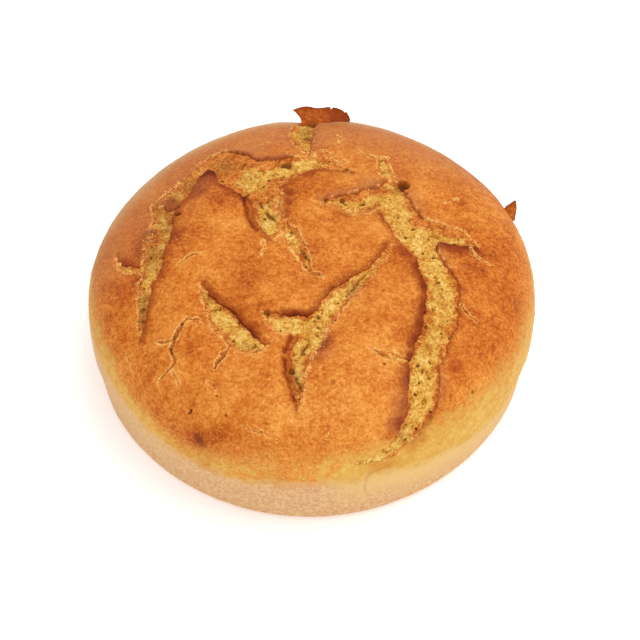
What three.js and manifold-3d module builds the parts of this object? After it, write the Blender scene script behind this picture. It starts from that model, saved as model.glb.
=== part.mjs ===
// A round loaf of cornbread, baked in a shallow round tin: a pale straight wall as high as the
// tin, a domed crust above it that tore open as the loaf rose, and two thin ears of crust that
// stand up on the far shoulder. The loaf is one piece, so it is one solid.
//
// Units are millimetres, +Z is up, and the origin is at the centre of the underside.
//
// Places on the crust are given on the crust map: the dome unrolled flat around its crown, so that
// a place's distance from the map's centre is its distance from the crown along the crust.
import * as THREE from "three";
import { mergeVertices } from "three/addons/utils/BufferGeometryUtils.js";
import Module from "manifold-3d";

const wasm = await Module();
wasm.setup();

// ---- the loaf's form ----
const LOAF_HEIGHT = 78;
const BELLY_RADIUS = 110;
const BELLY_HEIGHT = 29;
const TIN_LINE_RADIUS = 109.1; // where the crust tucks in to the tin's rim
const TIN_DEPTH = 25;
const FOOT_RADIUS = 107;
const FOOT_ROUND = 5;
const SHOULDER_POWER = 3.1; // how far the shoulder fills out sideways
const CROWN_POWER = 3.5; // how flat the crown is
// The outline's unevenness: how many bulges, their size in mm of radius, the first one's direction.
const OVAL = { bulges: 2, size: 0.85, towards: 1.05 };
const SQUARE = { bulges: 4, size: 0.5, towards: 0.04 };

// ---- the relief of the crust ----
const PLATE_SWELL = 1.6; // how far the crust between the tears stands above their edges
const PLATE_REACH = 9; // how soon it gets there, away from an edge
const TEAR_DEPTH = { least: 1.3, perWidth: 0.38, most: 4.4 };

// ---- how finely it is faceted ----
const SEGMENTS = 80;
const DOME_STEPS = 400; // points of the profile itself, from which the rings are picked
const TUCK_STEPS = 8;
const FOOT_STEPS = 6;
const CROWN_RINGS = { reach: 96, count: 12 }; // distance from the crown to the shoulder's start
const SHOULDER_RINGS = 8;
const TEAR_STEP = 5;
const CLEARANCE = 5; // how far a tear's cutter stands out of the crust

// The tears, as stations [across, back, half width] on the crust map.
const TEARS = {
  longTear: [
    [37, 37, 4.5],
    [41, 26, 7],
    [47, 12, 7.5],
    [54, 0, 7.5],
    [60, -14, 7.5],
    [62, -28, 8],
    [60, -43, 7.5],
    [56, -57, 7.5],
    [51, -70, 5.5],
    [50, -84, 5],
    [48, -97, 4.2],
    [44, -109, 3.8],
    [35, -117.5, 3],
    [16, -123.5, 1.2],
  ],
  longTearLeftArm: [
    [38, 31, 6.5],
    [29, 28.5, 5.5],
    [19, 27.5, 4],
    [8, 29, 1.4],
  ],
  longTearRightArm: [
    [54, 10, 6.5],
    [63, 7, 5.5],
    [73, 5.5, 4],
    [81, 3, 1.2],
  ],
  topNick: [
    [44, 41, 3.2],
    [38, 49, 2.6],
    [36, 60, 1.6],
  ],
  backTear: [
    [-47, 66, 3.5],
    [-38, 56, 8],
    [-30, 48, 10],
    [-25, 37, 8],
    [-23, 24, 6],
    [-20, 12, 5],
    [-19, 3, 1.6],
  ],
  backTearArm: [
    [-30, 51, 8],
    [-17, 54, 6.5],
    [-3, 56.5, 5.5],
    [9, 54.5, 3.5],
    [20, 49.5, 1.2],
  ],
  farTear: [
    [-2, 60, 3],
    [-2, 70, 2],
    [-4, 80, 4],
    [-4, 92, 5],
    [1, 103, 5.5],
    [14, 108, 5],
    [28, 107, 1.6],
  ],
  middleSlit: [
    [-14, 12, 1.4],
    [-9, 6, 3],
    [-6, -3, 3],
    [-3, -11, 2.4],
    [2, -19, 0.9],
  ],
  leftTear: [
    [-56, 53, 1.6],
    [-62, 45, 4],
    [-69, 33, 6],
    [-71, 20, 6],
    [-73, 8, 6.5],
    [-76, -6, 6],
    [-79, -18, 4.5],
    [-80, -32, 3.5],
    [-82, -48, 1.6],
  ],
  leftTearArm: [
    [-96, 2, 1],
    [-91, -5, 2],
    [-86, -10, 2.6],
    [-79, -13, 2.6],
  ],
  crescent: [
    [-51, -22, 1],
    [-49, -32, 3],
    [-45, -42, 5.5],
    [-38, -50, 6],
    [-30, -57, 5],
    [-20, -60, 1.3],
  ],
  forkStem: [
    [34, -7, 0.9],
    [27, -18, 2.6],
    [17, -30, 4.8],
    [8, -38, 5],
    [2, -50, 6.2],
    [-4, -62, 6.4],
    [-6, -75, 4.6],
    [-6, -91, 1.2],
  ],
  forkArm: [
    [-21, -42, 1.6],
    [-15, -49, 4],
    [-5, -52, 4.8],
    [1, -54, 4],
  ],
};

// The ears: a foot line on the crust map, how high each stands along it, how far it leans out, how
// much it widens towards its rim, and its thickness.
const EARS = {
  farEar: {
    foot: [
      [-7, 97],
      [6, 99],
      [20, 100],
    ],
    heights: [6.6, 5.8, 6.1, 5.5, 6.2, 5.6, 4.8, 3.4, 1.5],
    lean: 0.4,
    flare: 2,
    thickness: 1.3,
  },
  sideEar: {
    foot: [
      [101, 51],
      [104, 45],
      [106.5, 39],
    ],
    heights: [0.8, 3.4, 4.6, 3, 0.8],
    lean: 0.35,
    flare: 1,
    thickness: 1.2,
  },
};
const EAR_ROOT = 2.5; // how deep an ear's foot is set into the crust
const EAR_BOW = 0.6; // how far an ear bows back half-way up
const EAR_RIM = 0.6; // how thin its rim is, as a share of its thickness

// ---- the smooth loaf ----

// The loaf's half section from the crown down to the foot, as points [radius, height].
function loafProfile() {
  const points = [];
  for (let i = 0; i <= DOME_STEPS; i++) {
    const t = (Math.PI / 2) * (1 - i / DOME_STEPS);
    points.push([
      BELLY_RADIUS * Math.max(Math.cos(t), 0) ** (2 / SHOULDER_POWER),
      BELLY_HEIGHT + (LOAF_HEIGHT - BELLY_HEIGHT) * Math.max(Math.sin(t), 0) ** (2 / CROWN_POWER),
    ]);
  }
  for (let i = 1; i <= TUCK_STEPS; i++) {
    const t = (Math.PI / 2) * (i / TUCK_STEPS);
    points.push([
      TIN_LINE_RADIUS + (BELLY_RADIUS - TIN_LINE_RADIUS) * Math.cos(t),
      BELLY_HEIGHT - (BELLY_HEIGHT - TIN_DEPTH) * Math.sin(t),
    ]);
  }
  for (let i = 0; i <= FOOT_STEPS; i++) {
    const t = (Math.PI / 2) * (i / FOOT_STEPS);
    points.push([
      FOOT_RADIUS - FOOT_ROUND * (1 - Math.cos(t)),
      FOOT_ROUND * (1 - Math.sin(t)),
    ]);
  }
  return points;
}

const PROFILE = loafProfile();
const ALONG = PROFILE.map(() => 0); // each profile point's distance from the crown
for (let i = 1; i < PROFILE.length; i++) {
  const [[r0, z0], [r1, z1]] = [PROFILE[i - 1], PROFILE[i]];
  ALONG[i] = ALONG[i - 1] + Math.hypot(r1 - r0, z1 - z0);
}
const CRUST_LENGTH = ALONG.at(-1);

// The profile's [radius, height] at a distance from the crown.
function profileAt(distance) {
  const s = THREE.MathUtils.clamp(distance, 0, CRUST_LENGTH);
  let i = ALONG.findIndex((a) => a >= s);
  i = Math.max(i, 1);
  const t = (s - ALONG[i - 1]) / (ALONG[i] - ALONG[i - 1]);
  return [0, 1].map((k) => THREE.MathUtils.lerp(PROFILE[i - 1][k], PROFILE[i][k], t));
}

// How much wider or narrower than round the loaf is in a direction.
function outline(angle) {
  const [oval, square] = [OVAL, SQUARE].map(
    ({ bulges, size, towards }) => size * Math.cos(bulges * (angle - towards)),
  );
  return 1 + (oval + square) / BELLY_RADIUS;
}

function smoothCrust(u, v) {
  const angle = Math.atan2(v, u);
  const [r, z] = profileAt(Math.hypot(u, v));
  const k = r * outline(angle);
  return new THREE.Vector3(k * Math.cos(angle), k * Math.sin(angle), z);
}

// The way straight out of the crust at a place on the map.
function outOf(u, v) {
  const d = 0.5;
  const east = smoothCrust(u + d, v).sub(smoothCrust(u - d, v));
  const north = smoothCrust(u, v + d).sub(smoothCrust(u, v - d));
  return east.cross(north).normalize();
}

// ---- the tears ----

// A tear's stations, evenly spaced along a smooth curve: x and y on the map, z the half width.
function stationsOf(path) {
  const curve = new THREE.CatmullRomCurve3(
    path.map((p) => new THREE.Vector3(...p)),
    false,
    "centripetal",
  );
  return curve.getSpacedPoints(Math.ceil(curve.getLength() / TEAR_STEP));
}

const STATIONS = Object.values(TEARS).map(stationsOf);

// The distance from a place on the map to the nearest tear's edge, or 0 inside a tear.
function fromTears(u, v) {
  let nearest = Infinity;
  for (const stations of STATIONS)
    for (const s of stations)
      nearest = Math.min(nearest, Math.hypot(s.x - u, s.y - v) - s.z);
  return Math.max(nearest, 0);
}

// The crust as baked: plates that swell up between the tears.
function crust(u, v) {
  const lowered = PLATE_SWELL * Math.exp(-((fromTears(u, v) / PLATE_REACH) ** 2));
  return smoothCrust(u, v).addScaledVector(outOf(u, v), -lowered);
}

// A tear's cross-section as [share of the half width, share of the depth]: a gutter under each edge
// of the crust, and the crumb swelling up between the two.
const TEAR_SECTION = [
  [-0.93, -0.4],
  [-0.72, -1],
  [-0.35, -0.68],
  [0, -0.55],
  [0.35, -0.68],
  [0.72, -1],
  [0.93, -0.4],
];

// One closed mesh from rings of points, each end closed by a fan.
function loft(rings) {
  const n = rings[0].length;
  const points = rings.flat();
  const faces = [];
  for (let i = 0; i + 1 < rings.length; i++)
    for (let j = 0; j < n; j++) {
      const [a, b] = [i * n + j, i * n + ((j + 1) % n)];
      faces.push(a, b, b + n, a, b + n, a + n);
    }
  const last = (rings.length - 1) * n;
  for (let j = 1; j + 1 < n; j++) faces.push(0, j + 1, j, last, last + j, last + j + 1);
  const geometry = new THREE.BufferGeometry().setFromPoints(points);
  geometry.setIndex(faces);
  return geometry;
}

function tearCutter(stations) {
  const rings = stations.map((s, i) => {
    const ahead = stations[Math.min(i + 1, stations.length - 1)];
    const behind = stations[Math.max(i - 1, 0)];
    const length = Math.hypot(ahead.x - behind.x, ahead.y - behind.y);
    const side = [(behind.y - ahead.y) / length, (ahead.x - behind.x) / length];
    const depth = Math.min(TEAR_DEPTH.least + TEAR_DEPTH.perWidth * s.z, TEAR_DEPTH.most);
    const at = (across, level) => {
      const u = s.x + side[0] * across * s.z;
      const v = s.y + side[1] * across * s.z;
      return smoothCrust(u, v).addScaledVector(outOf(u, v), level - PLATE_SWELL);
    };
    return [
      at(-1.06, CLEARANCE),
      ...TEAR_SECTION.map(([across, level]) => at(across, level * depth)),
      at(1.06, CLEARANCE),
    ];
  });
  return loft(rings);
}

// ---- the whole loaf ----

// Distances from the crown of the rings of vertices, closer together round the shoulder.
function ringDistances() {
  const footTop = ALONG.at(-1 - FOOT_STEPS);
  const tinLine = ALONG.at(-2 - FOOT_STEPS);
  const { reach, count } = CROWN_RINGS;
  const crown = Array.from({ length: count }, (_, i) => (reach * (i + 1)) / count);
  const shoulder = Array.from(
    { length: SHOULDER_RINGS },
    (_, i) => reach + ((tinLine - reach) * (i + 1)) / SHOULDER_RINGS,
  );
  const wall = [(tinLine + footTop) / 2, footTop];
  const foot = [(footTop + CRUST_LENGTH) / 2, CRUST_LENGTH];
  return [...crown, ...shoulder, ...wall, ...foot];
}

function loafBody() {
  const rings = ringDistances().map((distance) =>
    Array.from({ length: SEGMENTS }, (_, j) => {
      const angle = (j / SEGMENTS) * 2 * Math.PI;
      return crust(distance * Math.cos(angle), distance * Math.sin(angle));
    }),
  );
  const points = [crust(0, 0), ...rings.flat(), new THREE.Vector3(0, 0, 0)];
  const at = (i, j) => 1 + i * SEGMENTS + (j % SEGMENTS);
  const under = points.length - 1;
  const faces = [];
  for (let j = 0; j < SEGMENTS; j++) {
    faces.push(0, at(0, j), at(0, j + 1));
    for (let i = 0; i + 1 < rings.length; i++) {
      faces.push(at(i, j), at(i + 1, j), at(i + 1, j + 1));
      faces.push(at(i, j), at(i + 1, j + 1), at(i, j + 1));
    }
    faces.push(at(rings.length - 1, j), under, at(rings.length - 1, j + 1));
  }
  const geometry = new THREE.BufferGeometry().setFromPoints(points);
  geometry.setIndex(faces);
  return geometry;
}

// An ear: a thin sheet of crust standing on its foot line, ragged along its top.
function earSheet({ foot, heights, lean, flare, thickness }) {
  const line = new THREE.CatmullRomCurve3(foot.map(([u, v]) => new THREE.Vector3(u, v, 0)));
  const last = heights.length - 1;
  const rings = heights.map((height, i) => {
    const { x: u, y: v } = line.getPoint(i / last);
    const out = outOf(u, v);
    const back = new THREE.Vector3(u, v, 0).normalize();
    const rise = out.clone().addScaledVector(back, lean).normalize();
    const along = line.getTangent(i / last);
    const spread = along.clone().multiplyScalar((i / last - 0.5) * flare);
    const thin = rise.clone().cross(along).normalize().multiplyScalar(thickness / 2);
    const base = smoothCrust(u, v).addScaledVector(rise, -EAR_ROOT);
    const waist = base.clone().addScaledVector(rise, EAR_ROOT + height * 0.5);
    waist.addScaledVector(spread, 0.5).addScaledVector(back, EAR_BOW);
    const top = base.clone().addScaledVector(rise, EAR_ROOT + height).add(spread);
    const rim = thin.clone().multiplyScalar(EAR_RIM);
    return [
      base.clone().add(thin),
      waist.clone().add(thin),
      top.clone().add(rim),
      top.clone().sub(rim),
      waist.clone().sub(thin),
      base.clone().sub(thin),
    ];
  });
  return loft(rings);
}

// ---- solids ----

function solidOf(geometry) {
  const bare = geometry.clone();
  for (const name of ["normal", "uv"]) bare.deleteAttribute(name);
  const merged = mergeVertices(bare, 1e-4);
  const solid = new wasm.Manifold(
    new wasm.Mesh({
      numProp: 3,
      vertProperties: new Float32Array(merged.attributes.position.array),
      triVerts: new Uint32Array(merged.index.array),
    }),
  );
  if (solid.volume() < 0) throw new Error("a solid is inside out");
  return solid;
}

function geometryOf(solid) {
  const { vertProperties, triVerts } = solid.getMesh();
  const geometry = new THREE.BufferGeometry();
  geometry.setAttribute("position", new THREE.BufferAttribute(vertProperties, 3));
  geometry.setIndex(new THREE.BufferAttribute(triVerts, 1));
  geometry.computeVertexNormals();
  return geometry;
}

function bakedLoaf() {
  let loaf = solidOf(loafBody());
  for (const stations of STATIONS) loaf = loaf.subtract(solidOf(tearCutter(stations)));
  for (const ear of Object.values(EARS)) loaf = loaf.add(solidOf(earSheet(ear)));
  return loaf;
}

const crustMaterial = new THREE.MeshStandardMaterial({
  color: new THREE.Color(0.72, 0.36, 0.12),
  roughness: 0.62,
  metalness: 0,
});

const loaf = new THREE.Mesh(geometryOf(bakedLoaf()), crustMaterial);
loaf.name = "loaf";

const cornbread = new THREE.Group();
cornbread.add(loaf);

export default cornbread;
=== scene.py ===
"""A round, tin-baked loaf of cornbread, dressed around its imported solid.

The loaf is laid out on its crust map: the dome, side and foot unrolled flat round the crown, so that
a place is (across, back) in millimetres and its distance from the middle is its distance from the
crown along the crust. Tears, slits and holes are drawn on the map, and the crust and the crumb are
two closed meshes whose relief follows them.
"""

from __future__ import annotations

import logging
import math
from collections.abc import Callable, Sequence
from dataclasses import dataclass, field
from enum import Enum, IntEnum

import bpy
import numpy as np
from mathutils import Euler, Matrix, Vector
from mathutils.geometry import delaunay_2d_cdt

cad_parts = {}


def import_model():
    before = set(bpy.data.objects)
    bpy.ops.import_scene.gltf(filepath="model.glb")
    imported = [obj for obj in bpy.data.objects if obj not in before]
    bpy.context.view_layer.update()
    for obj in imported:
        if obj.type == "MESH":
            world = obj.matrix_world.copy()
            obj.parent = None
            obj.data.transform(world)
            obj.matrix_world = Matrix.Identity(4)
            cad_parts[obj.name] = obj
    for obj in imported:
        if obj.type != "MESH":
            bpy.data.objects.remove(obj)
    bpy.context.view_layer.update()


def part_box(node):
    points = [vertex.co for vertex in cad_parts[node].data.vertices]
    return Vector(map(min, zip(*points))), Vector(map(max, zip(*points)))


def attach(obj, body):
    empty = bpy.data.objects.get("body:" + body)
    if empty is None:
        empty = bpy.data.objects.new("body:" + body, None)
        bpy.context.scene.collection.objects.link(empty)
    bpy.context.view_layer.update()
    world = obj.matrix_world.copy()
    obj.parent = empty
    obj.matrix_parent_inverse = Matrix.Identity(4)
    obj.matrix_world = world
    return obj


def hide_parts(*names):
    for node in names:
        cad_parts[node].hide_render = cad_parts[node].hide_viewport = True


Array = np.ndarray
Rows = tuple[tuple[float, ...], ...]
Layers = dict[str, Array]
Shell = tuple[Array, Array, Layers]
Colour = tuple[float, float, float, float]
Material = bpy.types.Material
Piece = bpy.types.Object
Tree = bpy.types.NodeTree
Node = bpy.types.Node
Socket = bpy.types.NodeSocket
Feed = Socket | float | Colour
MM = 0.001
LOG = logging.getLogger("cornbread")


# -------- noise


class Draw(IntEnum):
    """The noise's independent draws, one for each thing that varies."""

    WANDER = 40
    FRAY = 50
    LIFT = 60
    LUMPS = 61
    WRINKLES = 62
    PITS = 63
    BLISTERS = 64
    SIDE_STREAKS = 65
    SIDE_GRAIN = 66
    SIDE_WAVES = 67
    SPLINTERS = 68
    RIM = 70
    SLIT_PITS = 72
    CRUMBLE = 73
    TOAST = 74
    FADE = 75
    UNDERSIDE = 80
    BROWNING = 90
    CRUMB_WAVES = 100
    CRUMB_LUMPS = 101
    LARGE_PORES = 102
    SMALL_PORES = 103
    CRUMB_GRAINS = 104
    CRUMB_WARP = 110
    EAR_WAVER = 200
    EAR_CREASES = 201
    EAR_FACES = 202
    EAR_TOAST = 203
    TIN_RIM = 300
    GRID = 900


@dataclass(frozen=True)
class Noise:
    """Smooth and cellular noise at points in millimetres, the same each run."""

    seed: int

    CORNERS = np.array([(i, j, k) for i in (0, 1) for j in (0, 1) for k in (0, 1)])
    NEIGHBOURS = np.array([(i, j, k) for i in (-1, 0, 1) for j in (-1, 0, 1) for k in (-1, 0, 1)])
    PRIMES = (0x9E3779B97F4A7C15, 0xC2B2AE3D27D4EB4F, 0x165667B19E3779F9, 0x27D4EB2F165667C5)

    def chance(self, cells: Array, salt: int) -> Array:
        """Give each whole-number cell a number from 0 to 1.

        Args:
            cells: Whole numbers, shape (..., 3).
            salt: Which draw.

        Returns:
            The numbers, shape (...).
        """
        x, y, z = (cells[..., i].astype(np.int64).astype(np.uint64) for i in range(3))
        a, b, c, d = (np.uint64(p) for p in self.PRIMES)
        with np.errstate(over="ignore"):
            h = x * a ^ y * b ^ z * c ^ np.uint64(self.seed * 7919 + salt * 104729 + 1) * d
            h ^= h >> np.uint64(29)
            h *= b
            h ^= h >> np.uint64(32)
            h *= a
            h ^= h >> np.uint64(31)
        return (h >> np.uint64(11)).astype(float) / 2.0**53

    def smooth(self, points: Array, size: float, salt: int = 0) -> Array:
        """Gradient noise of about -1 to 1.

        Args:
            points: Places, shape (n, 3).
            size: Size of its waves.
            salt: Which draw.

        Returns:
            One value a point.
        """
        place = points / size
        cell = np.floor(place)
        inside = place - cell
        blend = inside**3 * (inside * (inside * 6 - 15) + 10)
        total = np.zeros(len(points))
        for corner in self.CORNERS:
            at = cell + corner
            pull = np.stack([self.chance(at, salt * 4 + k) * 2 - 1 for k in (1, 2, 3)], -1)
            weight = np.prod(np.where(corner, blend, 1 - blend), axis=-1)
            total += weight * ((inside - corner) * pull).sum(-1)
        return total * 1.6

    def fractal(self, points: Array, size: float, octaves: int, salt: int = 0) -> Array:
        """Several smooth noises, each half as large and as strong as the one before.

        Args:
            points: Places, shape (n, 3).
            size: Size of the largest waves.
            octaves: How many noises.
            salt: Which draw.

        Returns:
            One value a point, of about -1 to 1.
        """
        total = sum(self.smooth(points, size / 2**i, salt + 17 * i) / 2**i for i in range(octaves))
        return total / (2 - 0.5 ** (octaves - 1))

    def cells(self, points: Array, size: float, salt: int = 0) -> tuple[Array, Array, Array]:
        """The nearest of many scattered seeds.

        Args:
            points: Places, shape (n, 3).
            size: Mean spacing of the seeds.
            salt: Which draw.

        Returns:
            The distance to the nearest seed in mm, and two chances that belong to that seed.
        """
        place = points / size
        cell = np.floor(place)
        nearest = np.full(len(points), np.inf)
        owner = cell.copy()
        for step in self.NEIGHBOURS:
            at = cell + step
            seed = at + np.stack([self.chance(at, salt * 5 + k) for k in (1, 2, 3)], -1)
            distance = ((seed - place) ** 2).sum(-1)
            closer = distance < nearest
            nearest = np.where(closer, distance, nearest)
            owner[closer] = at[closer]
        first, second = (self.chance(owner, salt * 5 + k) for k in (4, 5))
        return np.sqrt(nearest) * size, first, second


def ease(value: Array, start: float, end: float) -> Array:
    """Rise smoothly from 0 at start to 1 at end."""
    t = np.clip((value - start) / (end - start), 0, 1)
    return t * t * (3 - 2 * t)


def bell(value: Array, width: float) -> Array:
    """Fall off smoothly from 1 at zero, with that width."""
    return np.exp(-((value / width) ** 2))


# -------- the loaf's form


@dataclass
class LoafForm:
    """The smooth loaf in millimetres, and the way from its crust map to space."""

    height: float
    width: float
    belly_height: float = 29.0
    tuck: float = 0.9
    tin_depth: float = 25.0
    foot_in: float = 3.0
    foot_round: float = 5.0
    shoulder_power: float = 3.1
    crown_power: float = 3.5
    # How far the loaf is from round: (waves round it, mm, angle of the first).
    bulges: tuple[tuple[int, float, float], ...] = ((2, 0.85, 1.05), (4, 0.5, 0.04))
    radius: float = field(init=False)
    length: float = field(init=False)
    belly: float = field(init=False)
    profile: Array = field(init=False)
    along: Array = field(init=False)

    def __post_init__(self) -> None:
        """Work out the profile from the crown to the foot."""
        sides = sum(size * math.cos(count * towards) for count, size, towards in self.bulges)
        self.radius = self.width / 2 - sides
        low = self.belly_height
        t = np.linspace(math.pi / 2, 0, 900)
        out = self.radius * np.maximum(np.cos(t), 0) ** (2 / self.shoulder_power)
        up = low + (self.height - low) * np.maximum(np.sin(t), 0) ** (2 / self.crown_power)
        dome = np.stack([out, up], -1)
        t = np.linspace(0, math.pi / 2, 12)[1:]
        out = self.radius - self.tuck * (1 - np.cos(t))
        tuck = np.stack([out, low - (low - self.tin_depth) * np.sin(t)], -1)
        t = np.linspace(0, math.pi / 2, 14)
        out = self.radius - self.foot_in - self.foot_round * (1 - np.cos(t))
        foot = np.stack([out, self.foot_round * (1 - np.sin(t))], -1)
        self.profile = np.concatenate([dome, tuck, foot])
        steps = np.linalg.norm(np.diff(self.profile, axis=0), axis=1)
        self.along = np.concatenate([[0], np.cumsum(steps)])
        self.belly = float(self.along[len(dome) - 1])
        self.length = float(self.along[-1])

    def surface(self, place: Array) -> Array:
        """Points of the smooth loaf.

        Args:
            place: Places on the crust map, shape (n, 2).

        Returns:
            Points in mm, shape (n, 3).
        """
        distance = np.hypot(place[:, 0], place[:, 1])
        angle = np.arctan2(place[:, 1], place[:, 0])
        radius = np.interp(distance, self.along, self.profile[:, 0])
        for count, size, towards in self.bulges:
            radius = radius * (1 + size / self.radius * np.cos(count * (angle - towards)))
        height = np.interp(distance, self.along, self.profile[:, 1])
        return np.stack([radius * np.cos(angle), radius * np.sin(angle), height], -1)

    def outward(self, place: Array) -> Array:
        """Find which way is straight out of the smooth loaf.

        Args:
            place: Places on the crust map, shape (n, 2).

        Returns:
            Unit directions, shape (n, 3).
        """
        east, north = 0.4 * np.eye(2)
        across = self.surface(place + east) - self.surface(place - east)
        back = self.surface(place + north) - self.surface(place - north)
        out = np.cross(across, back)
        return out / np.maximum(np.linalg.norm(out, axis=1, keepdims=True), 1e-12)


# -------- what tore the crust


@dataclass(frozen=True)
class Lip:
    """One edge of a tear: how the crust beside it lifted and browned as it baked, and its painted sheen."""

    toast: float = 0.4
    lift: float = 0.3
    reach: float = 3.5
    gutter: float = 0.6
    rim: float = 0.5
    # How strongly the lip's crust is tinted mauve: painted grazing sheen and shade.
    painted_sheen: float = 0.0


# Lips that lift the crust tint it mauve, as painted grazing sheen and shade.
DEEP = Lip(toast=1.1, lift=-0.2, reach=4.2, gutter=0.45, rim=0.0)
SHARP = Lip(toast=1.0, lift=-0.1, reach=2.8, gutter=0.45, rim=0.0)
WARM = Lip(toast=0.72, lift=0.0, reach=3.0, gutter=0.35, rim=0.3)
ROLLED = Lip(toast=0.62, lift=0.4, reach=2.1, gutter=0.35, rim=0.0, painted_sheen=0.9)
CURLED = Lip(toast=0.25, lift=0.5, reach=4.0, gutter=0.4, rim=0.7, painted_sheen=0.8)
SCORCHED = Lip(toast=0.9, lift=-0.1, reach=5.5, gutter=0.3, rim=0.2, painted_sheen=0.6)
THIN = Lip(toast=0.6, lift=0.1, reach=1.7, gutter=0.2, rim=0.1)
SOFT = Lip(toast=0.3, lift=0.0, reach=2.5, gutter=0.2, rim=0.6)
FLUSH = Lip(toast=0.12, lift=0.0, reach=3.0, gutter=0.05, rim=0.2)


@dataclass(frozen=True)
class Tear:
    """A tear in the crust, with its two edges as seen when walking along its stations.

    A station is a point of the middle line and the half width there: (across, back, half width).
    """

    left: Lip
    right: Lip
    stations: Rows


class Kind(Enum):
    """How a narrow crack looks: crumbly with a dotted dark line, or a smooth toasted crease."""

    CRUMBLY = "crumbly"
    CREASE = "crease"


@dataclass(frozen=True)
class Slit:
    """A narrow crack, its depth in mm and stations like a tear's."""

    depth: float
    stations: Rows
    kind: Kind = Kind.CRUMBLY


TEARS: dict[str, Tear] = {
    "long_top": Tear(CURLED, WARM, (
        (38.5, 40, 5), (41, 30, 7), (43.5, 20, 9), (47.5, 11, 9.5), (51.5, 3, 8.4), (54.5, -4, 6.8),
        (57, -11.5, 6.6),
    )),
    "long_middle": Tear(THIN, DEEP, (
        (57, -11.5, 6.8), (61, -19, 7.8), (62.5, -27.5, 8.1), (62, -38, 8.4), (60, -48, 8.1),
        (56.5, -57.5, 7.8), (53.8, -67, 7.5), (52.8, -76, 7.2),
    )),
    "long_low": Tear(THIN, SCORCHED, (
        (52.8, -76, 7.2), (52.8, -82, 7.6), (53, -88, 8), (52, -94, 7), (48.5, -100, 4.8),
    )),
    "long_tail": Tear(FLUSH, FLUSH, (
        (48, -100, 4.4), (45.5, -106, 4.2), (41.5, -112, 3.8), (36, -116, 3.2), (29.5, -119, 2),
        (23, -121.5, 0.8),
    )),
    "long_left_arm": Tear(SOFT, CURLED, (
        (36, 32, 9), (29.5, 30.5, 8.6), (23.5, 28, 8), (18, 28.5, 7), (14, 29, 4.8), (10, 28.5, 2.7),
        (6, 29, 1),
    )),
    "long_right_arm": Tear(FLUSH, DEEP, (
        (54, 10.5, 7.8), (61, 9.2, 6.9), (67, 8.4, 6), (72, 7.2, 4.8), (76, 5.2, 3), (80, 2.8, 1),
    )),
    "hairline": Tear(FLUSH, FLUSH, (
        (29, -63, 0.4), (32.5, -65, 1.3), (36.5, -65.5, 1.8), (40.5, -67.5, 1.4), (45.5, -69, 0.8),
    )),
    "top_nick": Tear(FLUSH, FLUSH, ((35.5, 61, 2.2), (36, 56, 3.5), (37, 51, 3.2), (38, 47, 1.6))),
    "back_corner": Tear(SOFT, WARM, ((-52.5, 62.5, 3.6), (-46.5, 63.8, 8), (-43, 61.5, 9.4))),
    "back": Tear(ROLLED, WARM, ((-43, 61.5, 9.4), (-40, 59, 10.4), (-37, 54.5, 11.3))),
    "back_fall": Tear(SOFT, WARM, (
        (-37, 53.5, 11.5), (-30, 46, 11.5), (-23, 36, 8.6), (-22.5, 28.5, 7.4), (-21.5, 20.5, 6.6),
        (-20, 12.5, 5), (-19, 5.5, 2.1),
    )),
    "back_arm": Tear(ROLLED, WARM, ((-24, 49, 12), (-14, 53, 9))),
    "back_arm_end": Tear(FLUSH, WARM, (
        (-14, 52.5, 8.2), (-8, 55, 6.8), (-2, 56, 5.4), (4, 56, 4.6), (10, 54.5, 3.6), (15, 51.5, 1.5),
        (19, 50.5, 1),
    )),
    "far": Tear(CURLED, SOFT, (
        (-1, 101, 3.4), (-3, 93, 5.6), (-4, 86, 6.4), (-4.5, 79, 6), (-3, 72.5, 4.2), (-1.5, 67, 2),
        (-0.5, 63, 0.7),
    )),
    "middle": Tear(SOFT, FLUSH, (
        (-13.5, 13.5, 2.2), (-10, 9, 3.4), (-7.5, 3, 3.6), (-5.5, -3, 2.8), (-3.5, -8, 2.7), (-2, -13, 1.4),
        (0, -16, 0.7),
    )),
    "left": Tear(WARM, SOFT, (
        (-53.5, 62, 2.4), (-58, 55, 3.2), (-62.5, 47.5, 4.4), (-67.5, 40, 6), (-72.5, 33, 7.2),
        (-73, 24, 5.6), (-73.5, 16, 5.8), (-74.5, 10, 6), (-75.5, 3, 5.6), (-76, -5, 5.4), (-76.5, -12, 5),
        (-79, -19, 3.6), (-79.5, -25, 3.1), (-80, -30.5, 2.8), (-80.5, -38, 2.2), (-81, -46, 1.6),
        (-82, -50, 0.6),
    )),
    "left_arm": Tear(FLUSH, WARM, (
        (-80, -10, 2.4), (-85.5, -8.5, 2), (-90, -6.5, 1.8), (-94, -2.5, 1.2), (-96.5, 3, 0.7),
    )),
    "crescent": Tear(SHARP, FLUSH, (
        (-51, -23, 0.7), (-49.5, -29.5, 2.4), (-46.5, -36, 4), (-43, -41.5, 5.5), (-39.5, -46.5, 6.8),
        (-35.5, -52, 6.7), (-32, -56.5, 6), (-27.5, -59.5, 4.2), (-22, -60, 0.8),
    )),
    "fork_top": Tear(SOFT, WARM, (
        (37, -1, 1), (32.5, -9.5, 1.6), (28, -16.5, 2.5), (22.5, -23, 4.2), (17.5, -28, 5.4),
        (12, -33.5, 5.8), (8, -39, 5.2),
    )),
    "fork_stem": Tear(SOFT, WARM, (
        (8, -39, 5.2), (5, -45, 5.6), (1.5, -51, 6), (-1.5, -57.5, 5.2), (-4.5, -63.5, 4.7),
        (-5.5, -68.5, 4.3), (-6, -74, 3.5), (-6, -80, 2.8), (-6, -86, 1.8), (-6, -92.5, 0.5),
    )),
    "fork_arm": Tear(SHARP, FLUSH, (
        (-20.5, -42, 1.6), (-16.5, -45.5, 4), (-12.5, -48, 5.2), (-7, -48.5, 6), (-1, -48.5, 6.5),
    )),
}

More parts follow.
